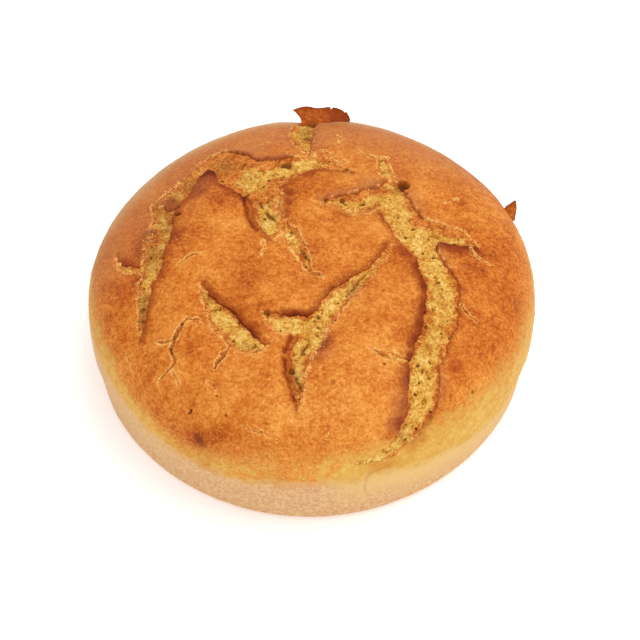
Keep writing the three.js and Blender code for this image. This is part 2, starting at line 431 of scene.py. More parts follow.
SLITS: tuple[Slit, ...] = (
    Slit(1.2, (
        (-35, 36, 0.4), (-34, 30, 0.7), (-32, 23, 0.7), (-30, 17, 0.7), (-27, 10, 0.4),
    ), Kind.CREASE),
    Slit(1.2, ((-10, -55, 0.5), (-10.5, -59.5, 0.9), (-12, -64, 0.5)), Kind.CREASE),
    Slit(1.2, (
        (-12.5, -67.5, 0.5), (-12.5, -72.5, 0.9), (-11.5, -77.5, 0.8), (-9.5, -83.5, 0.4), (-8, -88, 0.2),
    ), Kind.CREASE),
    Slit(1.2, ((-0.5, -16.5, 0.4), (2.5, -18.5, 0.6), (5, -21, 0.3))),
    Slit(1, ((72, -35, 0.3), (74.5, -39.5, 0.5), (78.5, -42.5, 0.3))),
    Slit(1.2, ((77, 1, 0.3), (79.5, -2.5, 0.35), (82.5, -5.5, 0.4), (86, -8.5, 0.1))),
    Slit(1, ((27.5, -61.5, 0.3), (31.5, -64.5, 0.6), (35, -66, 0.4))),
    Slit(1.6, (
        (-53.5, -43.5, 0.4), (-58.5, -44.5, 0.7), (-61.5, -49.5, 0.9), (-64, -55, 0.9), (-65.5, -60.5, 0.8),
        (-64.5, -66, 0.9), (-67.5, -70, 0.5), (-70, -72, 0.5), (-72.5, -73.5, 0.2),
    )),
    Slit(1.2, ((-73.5, -53.5, 0.3), (-69.5, -54.5, 0.6), (-64.5, -54.5, 0.6))),
    Slit(1, ((-64.5, -70.5, 0.3), (-63, -75, 0.4), (-62, -77, 0.2))),
    Slit(1.5, ((-37.5, -59, 0.5), (-40, -63, 0.8), (-42.5, -67.5, 0.9), (-44.5, -71.5, 0.4))),
    Slit(0.8, ((-47.5, -78.5, 0.4), (-45, -80, 0.6), (-44, -82, 0.3))),
    Slit(1.2, ((-63, -10, 0.3), (-59.5, -7.5, 0.6), (-53, -5, 0.3))),
    Slit(1, ((-23.5, 4, 0.1), (-23, -1, 0.35), (-23.5, -9.5, 0.1))),
    Slit(1, ((14, 79, 0.1), (14, 74.5, 0.3), (13.5, 69.5, 0.1))),
    Slit(1, ((-25, 72, 0.1), (-23, 74, 0.25), (-20, 73.5, 0.1))),
    Slit(1, ((65, 29.5, 0.1), (68.5, 31.5, 0.3), (72, 33.5, 0.1))),
    Slit(1.2, ((24, 65, 0.3), (30, 63, 0.5), (34.5, 60.5, 0.6), (39, 63, 0.3))),
    Slit(0.8, ((-97.5, -22.5, 0.1), (-95, -25.5, 0.3), (-93.5, -24.5, 0.1))),
    Slit(0.8, ((19, 49, 0.3), (22, 50, 0.3))),
    Slit(0.8, ((-33.5, -98.5, 0.1), (-28.5, -101.5, 0.3), (-21, -105, 0.2), (-16.5, -107, 0.1))),
    Slit(0.7, ((-41.5, -119, 0.1), (-31, -117.5, 0.25), (-25, -119.5, 0.25), (-19, -120, 0.1))),
    Slit(0.9, ((-90, -54.5, 0.1), (-88.5, -59.5, 0.3), (-86.5, -66.5, 0.1))),
    Slit(0.8, ((8.5, -102.5, 0.1), (6, -106.5, 0.2))),
    Slit(0.8, ((-52, -45, 0.1), (-55, -50, 0.3))),
    Slit(0.9, ((1, 62, 0.1), (6, 66, 0.3), (12, 60, 0.3), (19, 58, 0.1))),
    Slit(2.5, ((16, -33, 0.3), (18.5, -28.5, 0.7), (21, -24, 0.8), (24, -20, 0.7), (27, -17, 0.3))),
    Slit(2.5, ((-2, -59, 0.5), (-4, -63, 1.1), (-5.5, -66.5, 0.6))),
    Slit(2.2, ((-7.5, -77.5, 0.7), (-5.5, -81.5, 0.9), (-5.5, -86.5, 0.4))),
    Slit(2.5, ((-24.5, 30.5, 0.9), (-23.5, 27, 0.8))),
    Slit(3, ((-22, 24, 0.8), (-20.5, 21.5, 1.3), (-17.5, 17.5, 0.7))),
    Slit(2.5, ((-5.5, -2.5, 0.7), (-3, -7, 0.9), (-1, -11, 0.5))),
    Slit(1.8, ((58, -10, 0.4), (59.5, -13.5, 0.6))),
    Slit(1.8, ((60.5, -26, 0.5), (63, -31, 0.6))),
    Slit(0.9, ((42, -122, 0.1), (35, -126, 0.3), (31, -129, 0.35), (31, -136, 0.3), (33.5, -143, 0.1))),
)

# Scraps of crust left standing in the tears: (across, back, radius).
ISLANDS: Rows = (
    (-73.5, 35, 3.6), (-70, 31, 2.4), (-78, 14, 2), (-77, 8, 1.4),
)

# Single round holes: (across, back, radius, depth).
HOLES: Rows = (
    (-12, 57, 2.9, 5), (45, 42, 3.1, 4.5), (17, 51.5, 1.5, 2.5), (15.5, 31, 1.9, 3), (25, 29, 1.3, 2.5),
    (7.5, 29.5, 1.1, 2), (-21, -42, 1.6, 2.5), (9.5, -80.5, 1.1, 0.8), (4.5, -73.5, 0.8, 0.7),
    (-57.5, -90.5, 0.8, 1.2), (-44, -85, 0.6, 1.2), (-40.5, -94.5, 0.5, 1), (79, -79, 0.8, 1),
    (-42, -67, 0.6, 1.5), (-41.5, -63.5, 0.7, 1), (-66.5, 29.5, 1.3, 2.5), (-65.5, 23.5, 1.3, 2.5),
    (-80.5, -33.5, 1.3, 2.2), (-80.5, -39.5, 1.2, 2), (-34, 60, 1.2, 2), (-30.5, 48.5, 0.9, 1.8),
    (-21, 45, 1.2, 1.8), (-17, 45, 0.8, 1.5), (-64.5, -64, 0.8, 1.6), (-9.5, 9, 1.1, 2.5),
    (62.5, -34.5, 0.9, 1.8), (57.5, -38, 0.9, 1.8), (65, -39.5, 0.8, 1.6), (62.5, -44.5, 0.7, 1.5),
    (-32, 36, 1.5, 2.5), (-8.5, -73.5, 1.5, 2.5), (-6.5, -77.5, 1.1, 2), (3, -50, 1, 2),
    (3.5, -44.5, 1.2, 2), (-3.5, -64.5, 1.1, 2), (-24, -103, 0.9, 1.2), (0.5, 97.5, 2.4, 4),
    (-6.5, 88, 1.2, 2.5), (-2, 85, 1.4, 2.5), (-1.5, 80, 2, 3), (-113, -110.5, 0.8, 1.5),
    (-112.5, -112.5, 0.8, 1.5), (33.5, -69.5, 0.6, 1.2), (38.5, -66.5, 0.6, 1.2), (42.5, -68.5, 0.6, 1.2),
    (25.5, -62.5, 0.5, 1),
)


def spline(stations: Rows, step: float = 1.5) -> Array:
    """Smooth a row of stations.

    Args:
        stations: The stations, each a row of numbers.
        step: Spacing of the result in mm, about.

    Returns:
        Evenly spread stations, one a row.
    """
    knots = np.array(stations, float)
    ends = np.concatenate([[2 * knots[0] - knots[1]], knots, [2 * knots[-1] - knots[-2]]])
    rows = []
    for a, b, c, d in zip(ends, ends[1:], ends[2:], ends[3:]):
        count = max(int(np.linalg.norm(c[:2] - b[:2]) / step), 1)
        t = np.linspace(0, 1, count, endpoint=False)[:, None]
        curve = 2 * b + (c - a) * t + (2 * a - 5 * b + 4 * c - d) * t**2
        rows.append(0.5 * (curve + (3 * b - a - 3 * c + d) * t**3))
    return np.concatenate([*rows, knots[-1:]])


class TearMap:
    """Rasters over the crust map that say, for each place, how the nearest tears shape it."""

    REACH = 150.0
    PITCH = 0.5
    FAR = 20.0
    WINDOW = 26.0
    RIM_REACH = 3.0
    CREASE_REACH = 0.9
    CREASE_TOAST_REACH = 1.5

    def __init__(self) -> None:
        """Lay out the rasters and draw every tear, slit and hole in them."""
        self.axis = np.arange(-self.REACH, self.REACH + self.PITCH, self.PITCH)
        shape = (len(self.axis), len(self.axis))
        self.edge = np.full(shape, self.FAR)
        self.cut = np.full(shape, self.FAR)
        self.cut_depth, self.crumbly, self.crease = (np.zeros(shape) for _ in range(3))
        self.toast, self.lift, self.rim, self.painted_sheen = (np.zeros(shape) for _ in range(4))
        self._tear()
        back, across = np.meshgrid(self.axis, self.axis, indexing="ij")
        for u, v, radius in ISLANDS:
            self.edge = np.maximum(self.edge, radius - np.hypot(across - u, back - v))
        for slit in SLITS:
            self._slit(slit)
        for u, v, radius, depth in HOLES:
            self._cut(np.hypot(across - u, back - v) - radius, depth)

    def _tear(self) -> None:
        """Draw the tears, blended where they meet."""
        weight = np.full(self.edge.shape, 1e-9)
        width = np.zeros(self.edge.shape)
        gutter = np.zeros(self.edge.shape)
        for tear in TEARS.values():
            edge, half, across = self._trace(spline(tear.stations))
            left = ease(across, -0.6, 0.6)
            reach = tear.left.reach * left + tear.right.reach * (1 - left)
            for name in ("toast", "lift", "rim", "painted_sheen"):
                side = getattr(tear.left, name) * left + getattr(tear.right, name) * (1 - left)
                faded = side * bell(np.maximum(edge, 0), self.RIM_REACH if name == "rim" else reach)
                setattr(self, name, np.maximum(getattr(self, name), faded))
            near = np.exp(-np.clip(edge, -self.FAR, self.FAR))
            weight += near
            width += near * half
            gutter += near * (tear.left.gutter * left + tear.right.gutter * (1 - left))
        self.width = width / weight
        self.gutter = gutter / weight
        self.edge = np.minimum(-np.log(weight), self.FAR)

    def _slit(self, slit: Slit) -> None:
        """Draw a slit.

        Args:
            slit: The slit.
        """
        edge, half, _ = self._trace(spline(slit.stations, 0.8))
        if slit.kind is Kind.CRUMBLY:
            self._cut(edge, slit.depth)
            self.crumbly = np.maximum(self.crumbly, ease(-edge, -3.0, -2.0))
            return
        middle = np.maximum(edge + half, 0)
        self.crease = np.maximum(self.crease, slit.depth * bell(middle, self.CREASE_REACH))
        self.toast = np.maximum(self.toast, bell(middle, self.CREASE_TOAST_REACH))

    def _cut(self, edge: Array, depth: float) -> None:
        """Draw one slit's or hole's opening.

        Args:
            edge: The distance to its edge, negative inside.
            depth: Its depth in mm.
        """
        nearer = edge < self.cut
        self.cut = np.where(nearer, edge, self.cut)
        self.cut_depth = np.where(nearer, depth, self.cut_depth)

    def _trace(self, row: Array) -> tuple[Array, Array, Array]:
        """Measure how far each place is from a band of changing width.

        Args:
            row: Stations (across, back, half width) close together.

        Returns:
            The distance to the band's edge, negative inside; the half width there; and how far to
            the left of the middle line the place is, as a share of the half width.
        """
        shape = self.edge.shape
        edge = np.full(shape, self.FAR)
        half = np.ones(shape)
        across = np.zeros(shape)
        for start, end in zip(row, row[1:]):
            low = np.minimum(start, end)[1::-1] - self.WINDOW
            high = np.maximum(start, end)[1::-1] + self.WINDOW
            window = tuple(slice(*np.searchsorted(self.axis, ends)) for ends in zip(low, high))
            v, u = np.meshgrid(*(self.axis[part] for part in window), indexing="ij")
            step = (end - start)[:2]
            length = max(float(step @ step), 1e-9)
            t = np.clip(((u - start[0]) * step[0] + (v - start[1]) * step[1]) / length, 0, 1)
            w = start[2] + (end[2] - start[2]) * t
            du, dv = u - start[0] - step[0] * t, v - start[1] - step[1] * t
            distance = np.hypot(du, dv) - w
            side = (step[0] * dv - step[1] * du) / math.sqrt(length) / np.maximum(w, 0.3)
            nearer = distance < edge[window]
            edge[window] = np.where(nearer, distance, edge[window])
            half[window] = np.where(nearer, w, half[window])
            across[window] = np.where(nearer, side, across[window])
        return edge, half, across

    def read(self, raster: Array, place: Array) -> Array:
        """Look a raster up between its points.

        Args:
            raster: One of the map's rasters.
            place: Places on the crust map, shape (n, 2).

        Returns:
            One value a place.
        """
        last = len(self.axis) - 1.001
        x = np.clip((place[:, 0] + self.REACH) / self.PITCH, 0, last)
        y = np.clip((place[:, 1] + self.REACH) / self.PITCH, 0, last)
        i, j = np.floor(y).astype(int), np.floor(x).astype(int)
        fy, fx = y - i, x - j
        low = raster[i, j] * (1 - fx) + raster[i, j + 1] * fx
        high = raster[i + 1, j] * (1 - fx) + raster[i + 1, j + 1] * fx
        return low * (1 - fy) + high * fy


@dataclass
class Spot:
    """A set of places, and what the tear map says there with the ragged wander of real edges.

    Place is on the crust map, point on the smooth loaf, and out points straight out of it. Edge and
    cut are distances to the nearest tear's and slit's edges, negative inside, and inward points into
    the tear. The rest are the nearest lip's and slit's own values, faded with distance.
    """

    place: Array
    point: Array
    out: Array
    edge: Array
    inward: Array
    cut: Array
    width: Array
    gutter: Array
    toast: Array
    lift: Array
    rim: Array
    painted_sheen: Array
    cut_depth: Array
    crumbly: Array
    crease: Array


@dataclass
class Crackle:
    """Reads the tear map with wandering, ragged edges."""

    form: LoafForm
    tears: TearMap
    noise: Noise

    # (size of the waves, strength) in mm.
    WANDER = ((9.0, 1.2), (3.2, 0.75))
    FRAY = (1.4, 0.55)
    FRAY_REACH = 4.0
    CUT_FRAY = 0.6
    SLOPE_STEP = 0.6

    def _wander(self, place: Array) -> tuple[Array, Array]:
        """Shift places to and fro, so that what is read at them wanders.

        Args:
            place: Places on the crust map, shape (n, 2).

        Returns:
            The shifted places, and the fray to add to the distance from an edge.
        """
        points = self.form.surface(place)
        shift = np.zeros_like(place)
        for i, (size, strength) in enumerate(self.WANDER):
            for axis in (0, 1):
                salt = Draw.WANDER + 2 * i + axis
                shift[:, axis] += strength * self.noise.smooth(points, size, salt)
        size, strength = self.FRAY
        return place + shift, strength * self.noise.smooth(points, size, Draw.FRAY)

    def spot(self, place: Array) -> Spot:
        """Read everything at some places.

        Args:
            place: Places on the crust map, shape (n, 2).

        Returns:
            What is there.
        """
        tears = self.tears
        there, fray = self._wander(place)
        steps = self.SLOPE_STEP * np.eye(2)
        slope = np.stack(
            [tears.read(tears.edge, there + s) - tears.read(tears.edge, there - s) for s in steps], -1
        )
        edge = tears.read(tears.edge, there)
        plain = ("width", "gutter", "toast", "lift", "rim", "painted_sheen", "cut_depth", "crumbly", "crease")
        return Spot(
            place=place,
            point=self.form.surface(place),
            out=self.form.outward(place),
            edge=edge + fray * bell(edge, self.FRAY_REACH),
            inward=-slope / np.maximum(np.linalg.norm(slope, axis=1, keepdims=True), 0.2),
            cut=tears.read(tears.cut, there) + self.CUT_FRAY * fray,
            **{name: tears.read(getattr(tears, name), there) for name in plain},
        )


# -------- meshes on the crust map


@dataclass
class Mesher:
    """Scatters vertices over the crust map, close together where they are needed."""

    noise: Noise
    jitter: float = 0.22
    ratio: float = 1.18

    def scatter(
        self, reach: float, spacing: Callable[[Array], Array], finest: float, coarsest: float
    ) -> Array:
        """Scatter places over a disc.

        Args:
            reach: The disc's radius in mm.
            spacing: Gives the wanted spacing in mm for places of shape (n, 2), or infinity.
            finest: The smallest spacing.
            coarsest: The largest spacing.

        Returns:
            Places, shape (n, 2).
        """
        ratio = self.ratio
        levels = math.ceil(math.log(coarsest / finest) / math.log(ratio))
        kept = []
        for level in range(levels + 1):
            step = min(finest * ratio**level, coarsest)
            grid = self._grid(reach - 0.7 * step, step)
            wanted = spacing(grid)
            low = step / math.sqrt(ratio) if level else 0.0
            high = step * math.sqrt(ratio) if level < levels else 1e6
            kept.append(grid[(wanted >= low) & (wanted < high)])
        return np.concatenate(kept)

    def _grid(self, reach: float, step: float) -> Array:
        """Lay a jittered grid of equal triangles over a disc.

        Args:
            reach: The disc's radius in mm.
            step: The triangles' side.

        Returns:
            Their corners, shape (n, 2).
        """
        rise = step * math.sqrt(0.75)
        rows = np.arange(-int(reach / rise) - 1, int(reach / rise) + 2)
        columns = np.arange(-int(reach / step) - 1, int(reach / step) + 2)
        j, i = np.meshgrid(rows, columns, indexing="ij")
        cells = np.stack([i, j, np.zeros_like(i)], -1).reshape(-1, 3)
        salt = Draw.GRID + int(step * 100)
        shake = np.stack([self.noise.chance(cells, salt + k) - 0.5 for k in (0, 1)], -1)
        x = (cells[:, 0] + 0.5 * (cells[:, 1] % 2)) * step
        grid = np.stack([x, cells[:, 1] * rise], -1) + shake * 2 * self.jitter * step
        return grid[np.hypot(grid[:, 0], grid[:, 1]) < reach]


def triangulate(places: Array, edges: Sequence[tuple[int, int]] = ()) -> Array:
    """Join places into triangles that face up.

    Args:
        places: Places on the crust map, shape (n, 2).
        edges: Edges that the triangles mustn't cross.

    Returns:
        Corner numbers, shape (m, 3).
    """
    points = [Vector((float(x), float(y))) for x, y in places]
    found = delaunay_2d_cdt(points, edges, [], 0, 1e-7, True)
    if len(found[0]) != len(places):
        raise ValueError("two places on the map coincide")
    order = np.array([source[0] for source in found[3]])
    faces = order[np.array(found[2])]
    a, b, c = (places[faces[:, k]] for k in range(3))
    turn = (b[:, 0] - a[:, 0]) * (c[:, 1] - a[:, 1]) - (b[:, 1] - a[:, 1]) * (c[:, 0] - a[:, 0])
    faces[turn < 0] = faces[turn < 0][:, ::-1]
    return faces[np.abs(turn) > 1e-9]


def add_object(name: str, data: bpy.types.ID) -> Piece:
    """Add an object to the scene, at the origin.

    Args:
        name: Its name.
        data: Its mesh, light or camera.

    Returns:
        The object.
    """
    made = bpy.data.objects.new(name, data)
    bpy.context.scene.collection.objects.link(made)
    return made


def make_piece(name: str, points: Array, faces: Array, layers: Layers, material: Material) -> Piece:
    """Make a smooth-shaded mesh object.

    Args:
        name: The piece's name.
        points: Its vertices in mm, shape (n, 3).
        faces: Its triangles.
        layers: Named values, one a vertex, for its material to read.
        material: Its finish.

    Returns:
        The object.
    """
    mesh = bpy.data.meshes.new(name)
    mesh.vertices.add(len(points))
    mesh.vertices.foreach_set("co", (points * MM).astype(np.float32).ravel())
    mesh.loops.add(len(faces) * 3)
    mesh.loops.foreach_set("vertex_index", faces.astype(np.int32).ravel())
    mesh.polygons.add(len(faces))
    mesh.polygons.foreach_set("loop_start", np.arange(0, len(faces) * 3, 3, dtype=np.int32))
    mesh.polygons.foreach_set("use_smooth", np.ones(len(faces), bool))
    mesh.update(calc_edges=True)
    mesh.validate()
    for layer, values in layers.items():
        attribute = mesh.attributes.new(layer, "FLOAT", "POINT")
        attribute.data.foreach_set("value", values.astype(np.float32))
    mesh.materials.append(material)
    return add_object(name, mesh)


@dataclass
class CrustBody:
    """The loaf's body: browned crust, pale tin side and underside, grooved under the torn crumb.

    Heights are in mm over the smooth loaf, which the body keeps just inside of.
    """

    form: LoafForm
    crackle: Crackle
    mesher: Mesher
    noise: Noise
    settle: float = 0.45
    swell: float = 1.6
    swell_reach: float = 9.0
    lift: float = 1.7
    lumps: float = 0.55
    wrinkles: float = 0.2
    blisters: float = 0.16
    splinters: float = 0.3
    pits: float = 0.55
    side_in: float = 0.45
    side_pits: float = 0.5
    wall: float = 0.9
    overhang: float = 0.5
    overhang_reach: float = 0.7
    dimples: float = 0.5
    foot_fade: float = 5.0
    fine: float = 0.43
    growth: float = 0.5
    coarse: float = 1.6
    side_coarse: float = 2.1
    base_step: float = 3.2
    foot_count: int = 400

    # Where the tin's rim stood, as (direction in degrees, distance from the crown on the map).
    TIN_RIM = (
        (-180, 125), (-163, 124.5), (-150, 127), (-137, 132), (-125, 135), (-110, 138), (-92, 132.5),
        (-79, 134), (-75.5, 132), (-70, 132.5), (-66, 135.5), (-57, 137), (-40, 146), (-28, 149),
        (-14, 141), (20, 134), (90, 131), (150, 127),
    )

    def _spacing(self, place: Array) -> Array:
        """Say how far apart vertices may be: closest along the edges of tears and slits.

        Args:
            place: Places on the crust map, shape (n, 2).

        Returns:
            The spacing in mm, one a place.
        """
        tears = self.crackle.tears
        edge = tears.read(tears.edge, place)
        away = np.maximum(edge - 2.0, -1.7 - edge)
        away = np.minimum(away, tears.read(tears.cut, place) - 1.4)
        away = np.minimum(away, 3.0 - 6.0 * tears.read(tears.crease, place))
        distance = np.hypot(place[:, 0], place[:, 1])
        widest = np.where(distance > self.form.belly, self.side_coarse, self.coarse)
        return np.clip(self.fine + self.growth * np.maximum(away, 0), self.fine, widest)

    def _tin(self, spot: Spot) -> Array:
        """Measure how far below the tin's rim places are.

        Args:
            spot: The places.

        Returns:
            The distance along the crust in mm, negative above the rim.
        """
        line = round_loaf(spot, np.array(self.TIN_RIM, float))[:, 0]
        wander = 1.6 * self.noise.fractal(spot.point, 14.0, 3, Draw.TIN_RIM)
        return np.hypot(spot.place[:, 0], spot.place[:, 1]) - line + wander

    def _top_relief(self, spot: Spot) -> Array:
        """Give the baked top its lumps, wrinkles, blisters, pits and splinters.

        Args:
            spot: The places.

        Returns:
            Heights in mm.
        """
        noise = self.noise
        height = self.lumps * noise.fractal(spot.point, 26.0, 2, Draw.LUMPS)
        height += self.wrinkles * noise.fractal(spot.point, 5.0, 3, Draw.WRINKLES)
        away, first, second = noise.cells(spot.point, 2.6, Draw.BLISTERS)
        height += self.blisters * ease(-away, -0.5 - 0.5 * second, 0) * (first > 0.6)
        height -= self.pits * self._pits(spot)
        return height + self.splinters * self._broken(spot) * noise.smooth(spot.point, 1.3, Draw.SPLINTERS)

    def _side_relief(self, spot: Spot) -> Array:
        """Give the tin side its upright streaks, fine grain, waves and pits.

        Args:
            spot: The places.

        Returns:
            Heights in mm.
        """
        noise = self.noise
        upright = spot.point * np.array([4, 4, 1])
        height = 0.12 * noise.fractal(upright, 7.0, 3, Draw.SIDE_STREAKS)
        height += 0.1 * noise.fractal(spot.point, 1.6, 2, Draw.SIDE_GRAIN)
        height += 0.25 * noise.fractal(spot.point, 22.0, 2, Draw.SIDE_WAVES)
        return height - self.side_pits * self._pits(spot) - self.side_in

    def _pits(self, spot: Spot) -> Array:
        """Strew small round pits, each 1 deep in its middle."""
        away, first, second = self.noise.cells(spot.point, 5.5, Draw.PITS)
        return ease(-away, -0.35 - 0.5 * second, 0) * (first > 0.8)

    def _relief(self, spot: Spot, tin: Array) -> Array:
        """Put the crust's relief together: swell, lips, grooves, creases and cuts.

        Args:
            spot: The places.
            tin: How far below the tin's rim they are.

        Returns:
            Heights in mm.
        """
        level = -self.swell * bell(np.maximum(spot.edge, 0), self.swell_reach)
        uneven = 0.75 + 0.5 * self.noise.smooth(spot.point, 6.0, Draw.LIFT)
        level += self.lift * spot.lift * uneven
        top = 1 - ease(tin, -1.0, 1.0)
        height = level + self._top_relief(spot) * top + self._side_relief(spot) * (1 - top)
        height -= self.settle + spot.crease
        sunk = ease(-spot.edge, -0.05, self.wall)
        floor = -self.swell - groove_depth(spot.width) * 1.2 - 1.0
        height = height * (1 - sunk) + floor * sunk
        return height - spot.cut_depth * self._opened(spot) * (1 - sunk)

    def _opened(self, spot: Spot) -> Array:
        """Say how far open slits and holes are: slits open in a row of pits.

        Args:
            spot: The places.

        Returns:
            From 0 for closed to 1.
        """
        line = ease(-spot.cut, -0.45, 0.4)
        away, first, _ = self.noise.cells(spot.point, 1.9, Draw.SLIT_PITS)
        pit = ease(-away, -1.0, -0.35) * (first < 0.75)
        return line * (0.45 + 0.55 * np.maximum(pit, 1 - spot.crumbly))

    def _broken(self, spot: Spot) -> Array:
        """Say how far the crust is broken up into pale crumb, beside slits and flush edges.

        Args:
            spot: The places.

        Returns:
            From 0 for whole to 1.
        """
        beside = bell(spot.cut - 0.35, 0.42) * spot.crumbly * ease(spot.cut_depth, 0.2, 1.3)
        flush = (1 - ease(spot.gutter, 0.05, 0.5)) * (1 - ease(spot.toast, 0.3, 0.6))
        flush = flush * bell(np.maximum(spot.edge, 0), 1.6)
        ragged = 0.7 + 0.8 * self.noise.fractal(spot.point, 2.4, 2, Draw.CRUMBLE)
        return np.clip(np.maximum(beside * (1.6 * ragged - 0.1), flush * ragged), 0, 1)

    def _far_sheen(self, spot: Spot) -> Array:
        """Say how strong the painted sheen on the far shoulder is: low on the back, turned away from the
        camera, it is plain crust again.

        Args:
            spot: The places.

        Returns:
            From 0 for none to 1.
        """
        across, back = spot.place.T
        distance = np.hypot(across, back)
        behind = ease(np.sin(np.arctan2(back, across) - 0.3), -0.2, 0.9)
        steep = 0.65 * spot.out[:, 1] - 0.75 * spot.out[:, 2]
        low = ease(steep + 0.1 * self.noise.fractal(spot.point, 20.0, 3, Draw.FADE), -0.15, 0.2)
        return behind * (1 - low) * (ease(distance, 45.0, 95.0) + ease(distance, 86.0, 110.0)) / 2

    def _layers(self, spot: Spot, tin: Array) -> Layers:
        """Work out what the crust's material reads.

        Args:
            spot: The places.
            tin: How far below the tin's rim they are.

        Returns:
            Named values, one a place.
        """
        noise = self.noise
        inside = ease(-spot.edge, 0.0, 0.5)
        ragged = ease(noise.fractal(spot.point, 3.0, 2, Draw.RIM), -0.1, 0.3)
        rim = spot.rim * bell(spot.edge - 0.1, 0.4) * ragged
        uneven = 0.7 + 0.5 * noise.fractal(spot.point, 8.0, 2, Draw.TOAST)
        # Inside the tears the groove is darkened more the deeper its gutter: painted shade.
        toast = spot.toast * (uneven + 0.15) + (0.2 + 0.6 * spot.gutter) * inside
        toast = toast + patches(spot, BURNT_AND_SHADE_PATCHES)
        broken = self._broken(spot)
        brown = 0.5 + patches(spot, BROWN_AND_SHADE_PATCHES)
        return {
            "brown": brown + 0.08 * noise.fractal(spot.point, 30.0, 3, Draw.BROWNING),
            "toast": np.clip(toast, 0, 1.4),
            "rim": np.clip(rim, 0, 1),
            "loose": np.clip(0.15 * rim + broken, 0, 1) * (tin < -2),
            "broken": broken,
            # Slits are darker the deeper they are: painted shade inside them.
            "crack": self._opened(spot) * ease(spot.cut_depth, 0.2, 1.6) * (spot.cut < 5),
            "golden": golden(spot, tin),
            # Painted grazing sheen and shade on lifted lips, and a paler painted sheen on the far shoulder.
            "painted_sheen": np.clip(spot.painted_sheen * uneven + patches(spot, SHEEN_PATCHES), 0, 1),
            "faded": self._far_sheen(spot),
            "tin": tin,
        }

    def build(self, material: Material) -> Piece:
        """Build the closed mesh.

        Args:
            material: Its finish.

        Returns:
            The piece.
        """
        form = self.form
        scattered = self.mesher.scatter(form.length, self._spacing, self.fine, self.side_coarse)
        turn = np.linspace(0, 2 * math.pi, self.foot_count, endpoint=False)
        foot = np.stack([np.cos(turn), np.sin(turn)], -1) * form.length
        place = np.concatenate([foot, scattered])
        faces = triangulate(place)
        spot = self.crackle.spot(place)
        tin = self._tin(spot)
        slide = self.overhang * spot.toast * bell(spot.edge + 0.05, self.overhang_reach)
        slide = slide - 0.7 * self.overhang * bell(spot.edge + 1.0, 0.6)
        moved = form.surface(place + spot.inward * slide[:, None])
        fade = ease(form.length - np.hypot(place[:, 0], place[:, 1]), 0.0, self.foot_fade)
        points = moved + spot.out * (self._relief(spot, tin) * fade)[:, None]
        points[:, 2] = np.maximum(points[:, 2], 0)
        points, faces, layers = self._close(points, faces, self._layers(spot, tin))
        return make_piece("crust", points, faces, layers, material)

    def _close(self, points: Array, faces: Array, layers: Layers) -> Shell:
        """Add the underside: flat, with the faint dimples of a tin's bottom.

        Args:
            points: The crust's vertices, the foot's first.
            faces: Its triangles.
            layers: Its named values.

        Returns:
            All three with the underside added.
        """
        foot = points[: self.foot_count, :2]
        reach = float(np.hypot(foot[:, 0], foot[:, 1]).min()) - 1.0
        step = self.base_step
        inner = self.mesher.scatter(reach, lambda place: np.full(len(place), step), step, step)
        under = triangulate(np.concatenate([foot, inner]))[:, ::-1]
        number = np.concatenate([np.arange(self.foot_count), np.arange(len(inner)) + len(points)])
        flat = np.pad(inner, ((0, 0), (0, 1)))
        dimple = np.maximum(self.noise.fractal(flat, 9.0, 3, Draw.UNDERSIDE), 0)
        flat[:, 2] = self.dimples * dimple
        added = {name: np.full(len(inner), 60.0 if name == "tin" else 0.0) for name in layers}
        joined = {name: np.concatenate([layers[name], added[name]]) for name in layers}
        return np.concatenate([points, flat]), np.concatenate([faces, number[under]]), joined


@dataclass(frozen=True)
class Patch:
    """A soft round patch on the crust map: its middle and radius in mm, and its strength."""

    across: float
    back: float
    radius: float
    strength: float = 1.0


def dabs(*rows: tuple[float, ...]) -> tuple[Patch, ...]:
    """Make a patch of each row of (across, back, radius, strength), 1 strong if it doesn't say."""
    return tuple(Patch(*row) for row in rows)


# Crust that baked darker or, below zero, paler; crust toasted almost black; painted grazing sheen and
# shade.
# Dabs at the back tear's corner and under the right arm are painted shade in the hollows there.
BROWN_AND_SHADE_PATCHES = dabs(
    (-45, 0, 50, 0.07), (-57, -104, 5, 0.35), (-46, -102, 6, 0.25), (-64, -114, 10, 0.05),
    (-78, 5, 13, 0.2), (-80, 25, 12, 0.2), (-60, 48, 14, 0.3), (-40, 44, 12, 0.15), (-10, 44, 14, 0.28),
    (-80, -14, 12, 0.2), (-45, -8, 14, -0.12), (-50, 15, 12, -0.1), (32, 18, 16, -0.13), (0, -84, 16, -0.1),
    (-25, -92, 14, -0.15), (24, -102, 18, -0.12), (80, -2, 12, 0.12), (100, 50, 18, 0.1),
    (100, -10, 20, 0.12), (86, -50, 18, 0.1), (-51.5, 57.5, 5, 1.1), (-55, 52, 4, 0.4), (-48, 52, 4, 0.4),
    (-73, 34, 5, 0.35), (-77.5, 15, 3, 0.3), (44.5, -5, 4.5, 0.35), (37.5, -105.5, 3.6, 0.3),
    (-86, 1, 5, 0.25), (-81.5, 11, 4.5, 0.3), (67.5, -1, 3.2, 0.35), (72, -1, 2.6, 0.2),
    (68.5, -69.5, 3, 0.3), (62.5, -79.5, 4, 0.15), (55.5, -105.5, 3, 0.6), (50, -108.5, 4.5, 0.7),
    (36.5, -122.5, 4.5, 0.8), (42, -119, 10, 0.2), (-60, -122, 8, 0.15), (-22, -130, 16, 0.08),
    (-72, -104, 10, 0.1), (22, -60, 12, -0.1), (62, 40, 14, -0.08), (22, 42, 10, -0.08), (20, 16, 10, 0.1),
    (42, 0, 8, 0.08), (98, -35, 14, 0.14), (35, -25, 22, 0.08), (-40, -62, 10, 0.1), (-84, -40, 14, 0.07),
    (37.5, -98.5, 4, 0.3), (-55.5, -100.5, 5, 0.12), (-55.5, 39.5, 4, 0.2), (-1, -1, 3.4, 0.15),
    (4, -59, 5, 0.8), (2.5, -67, 4, 0.25), (-66.5, 8.5, 4, 0.25), (16, 21, 3.4, 0.2), (-1, 47, 4.5, 0.25),
    (-13, 18.5, 3.7, 0.2),
)
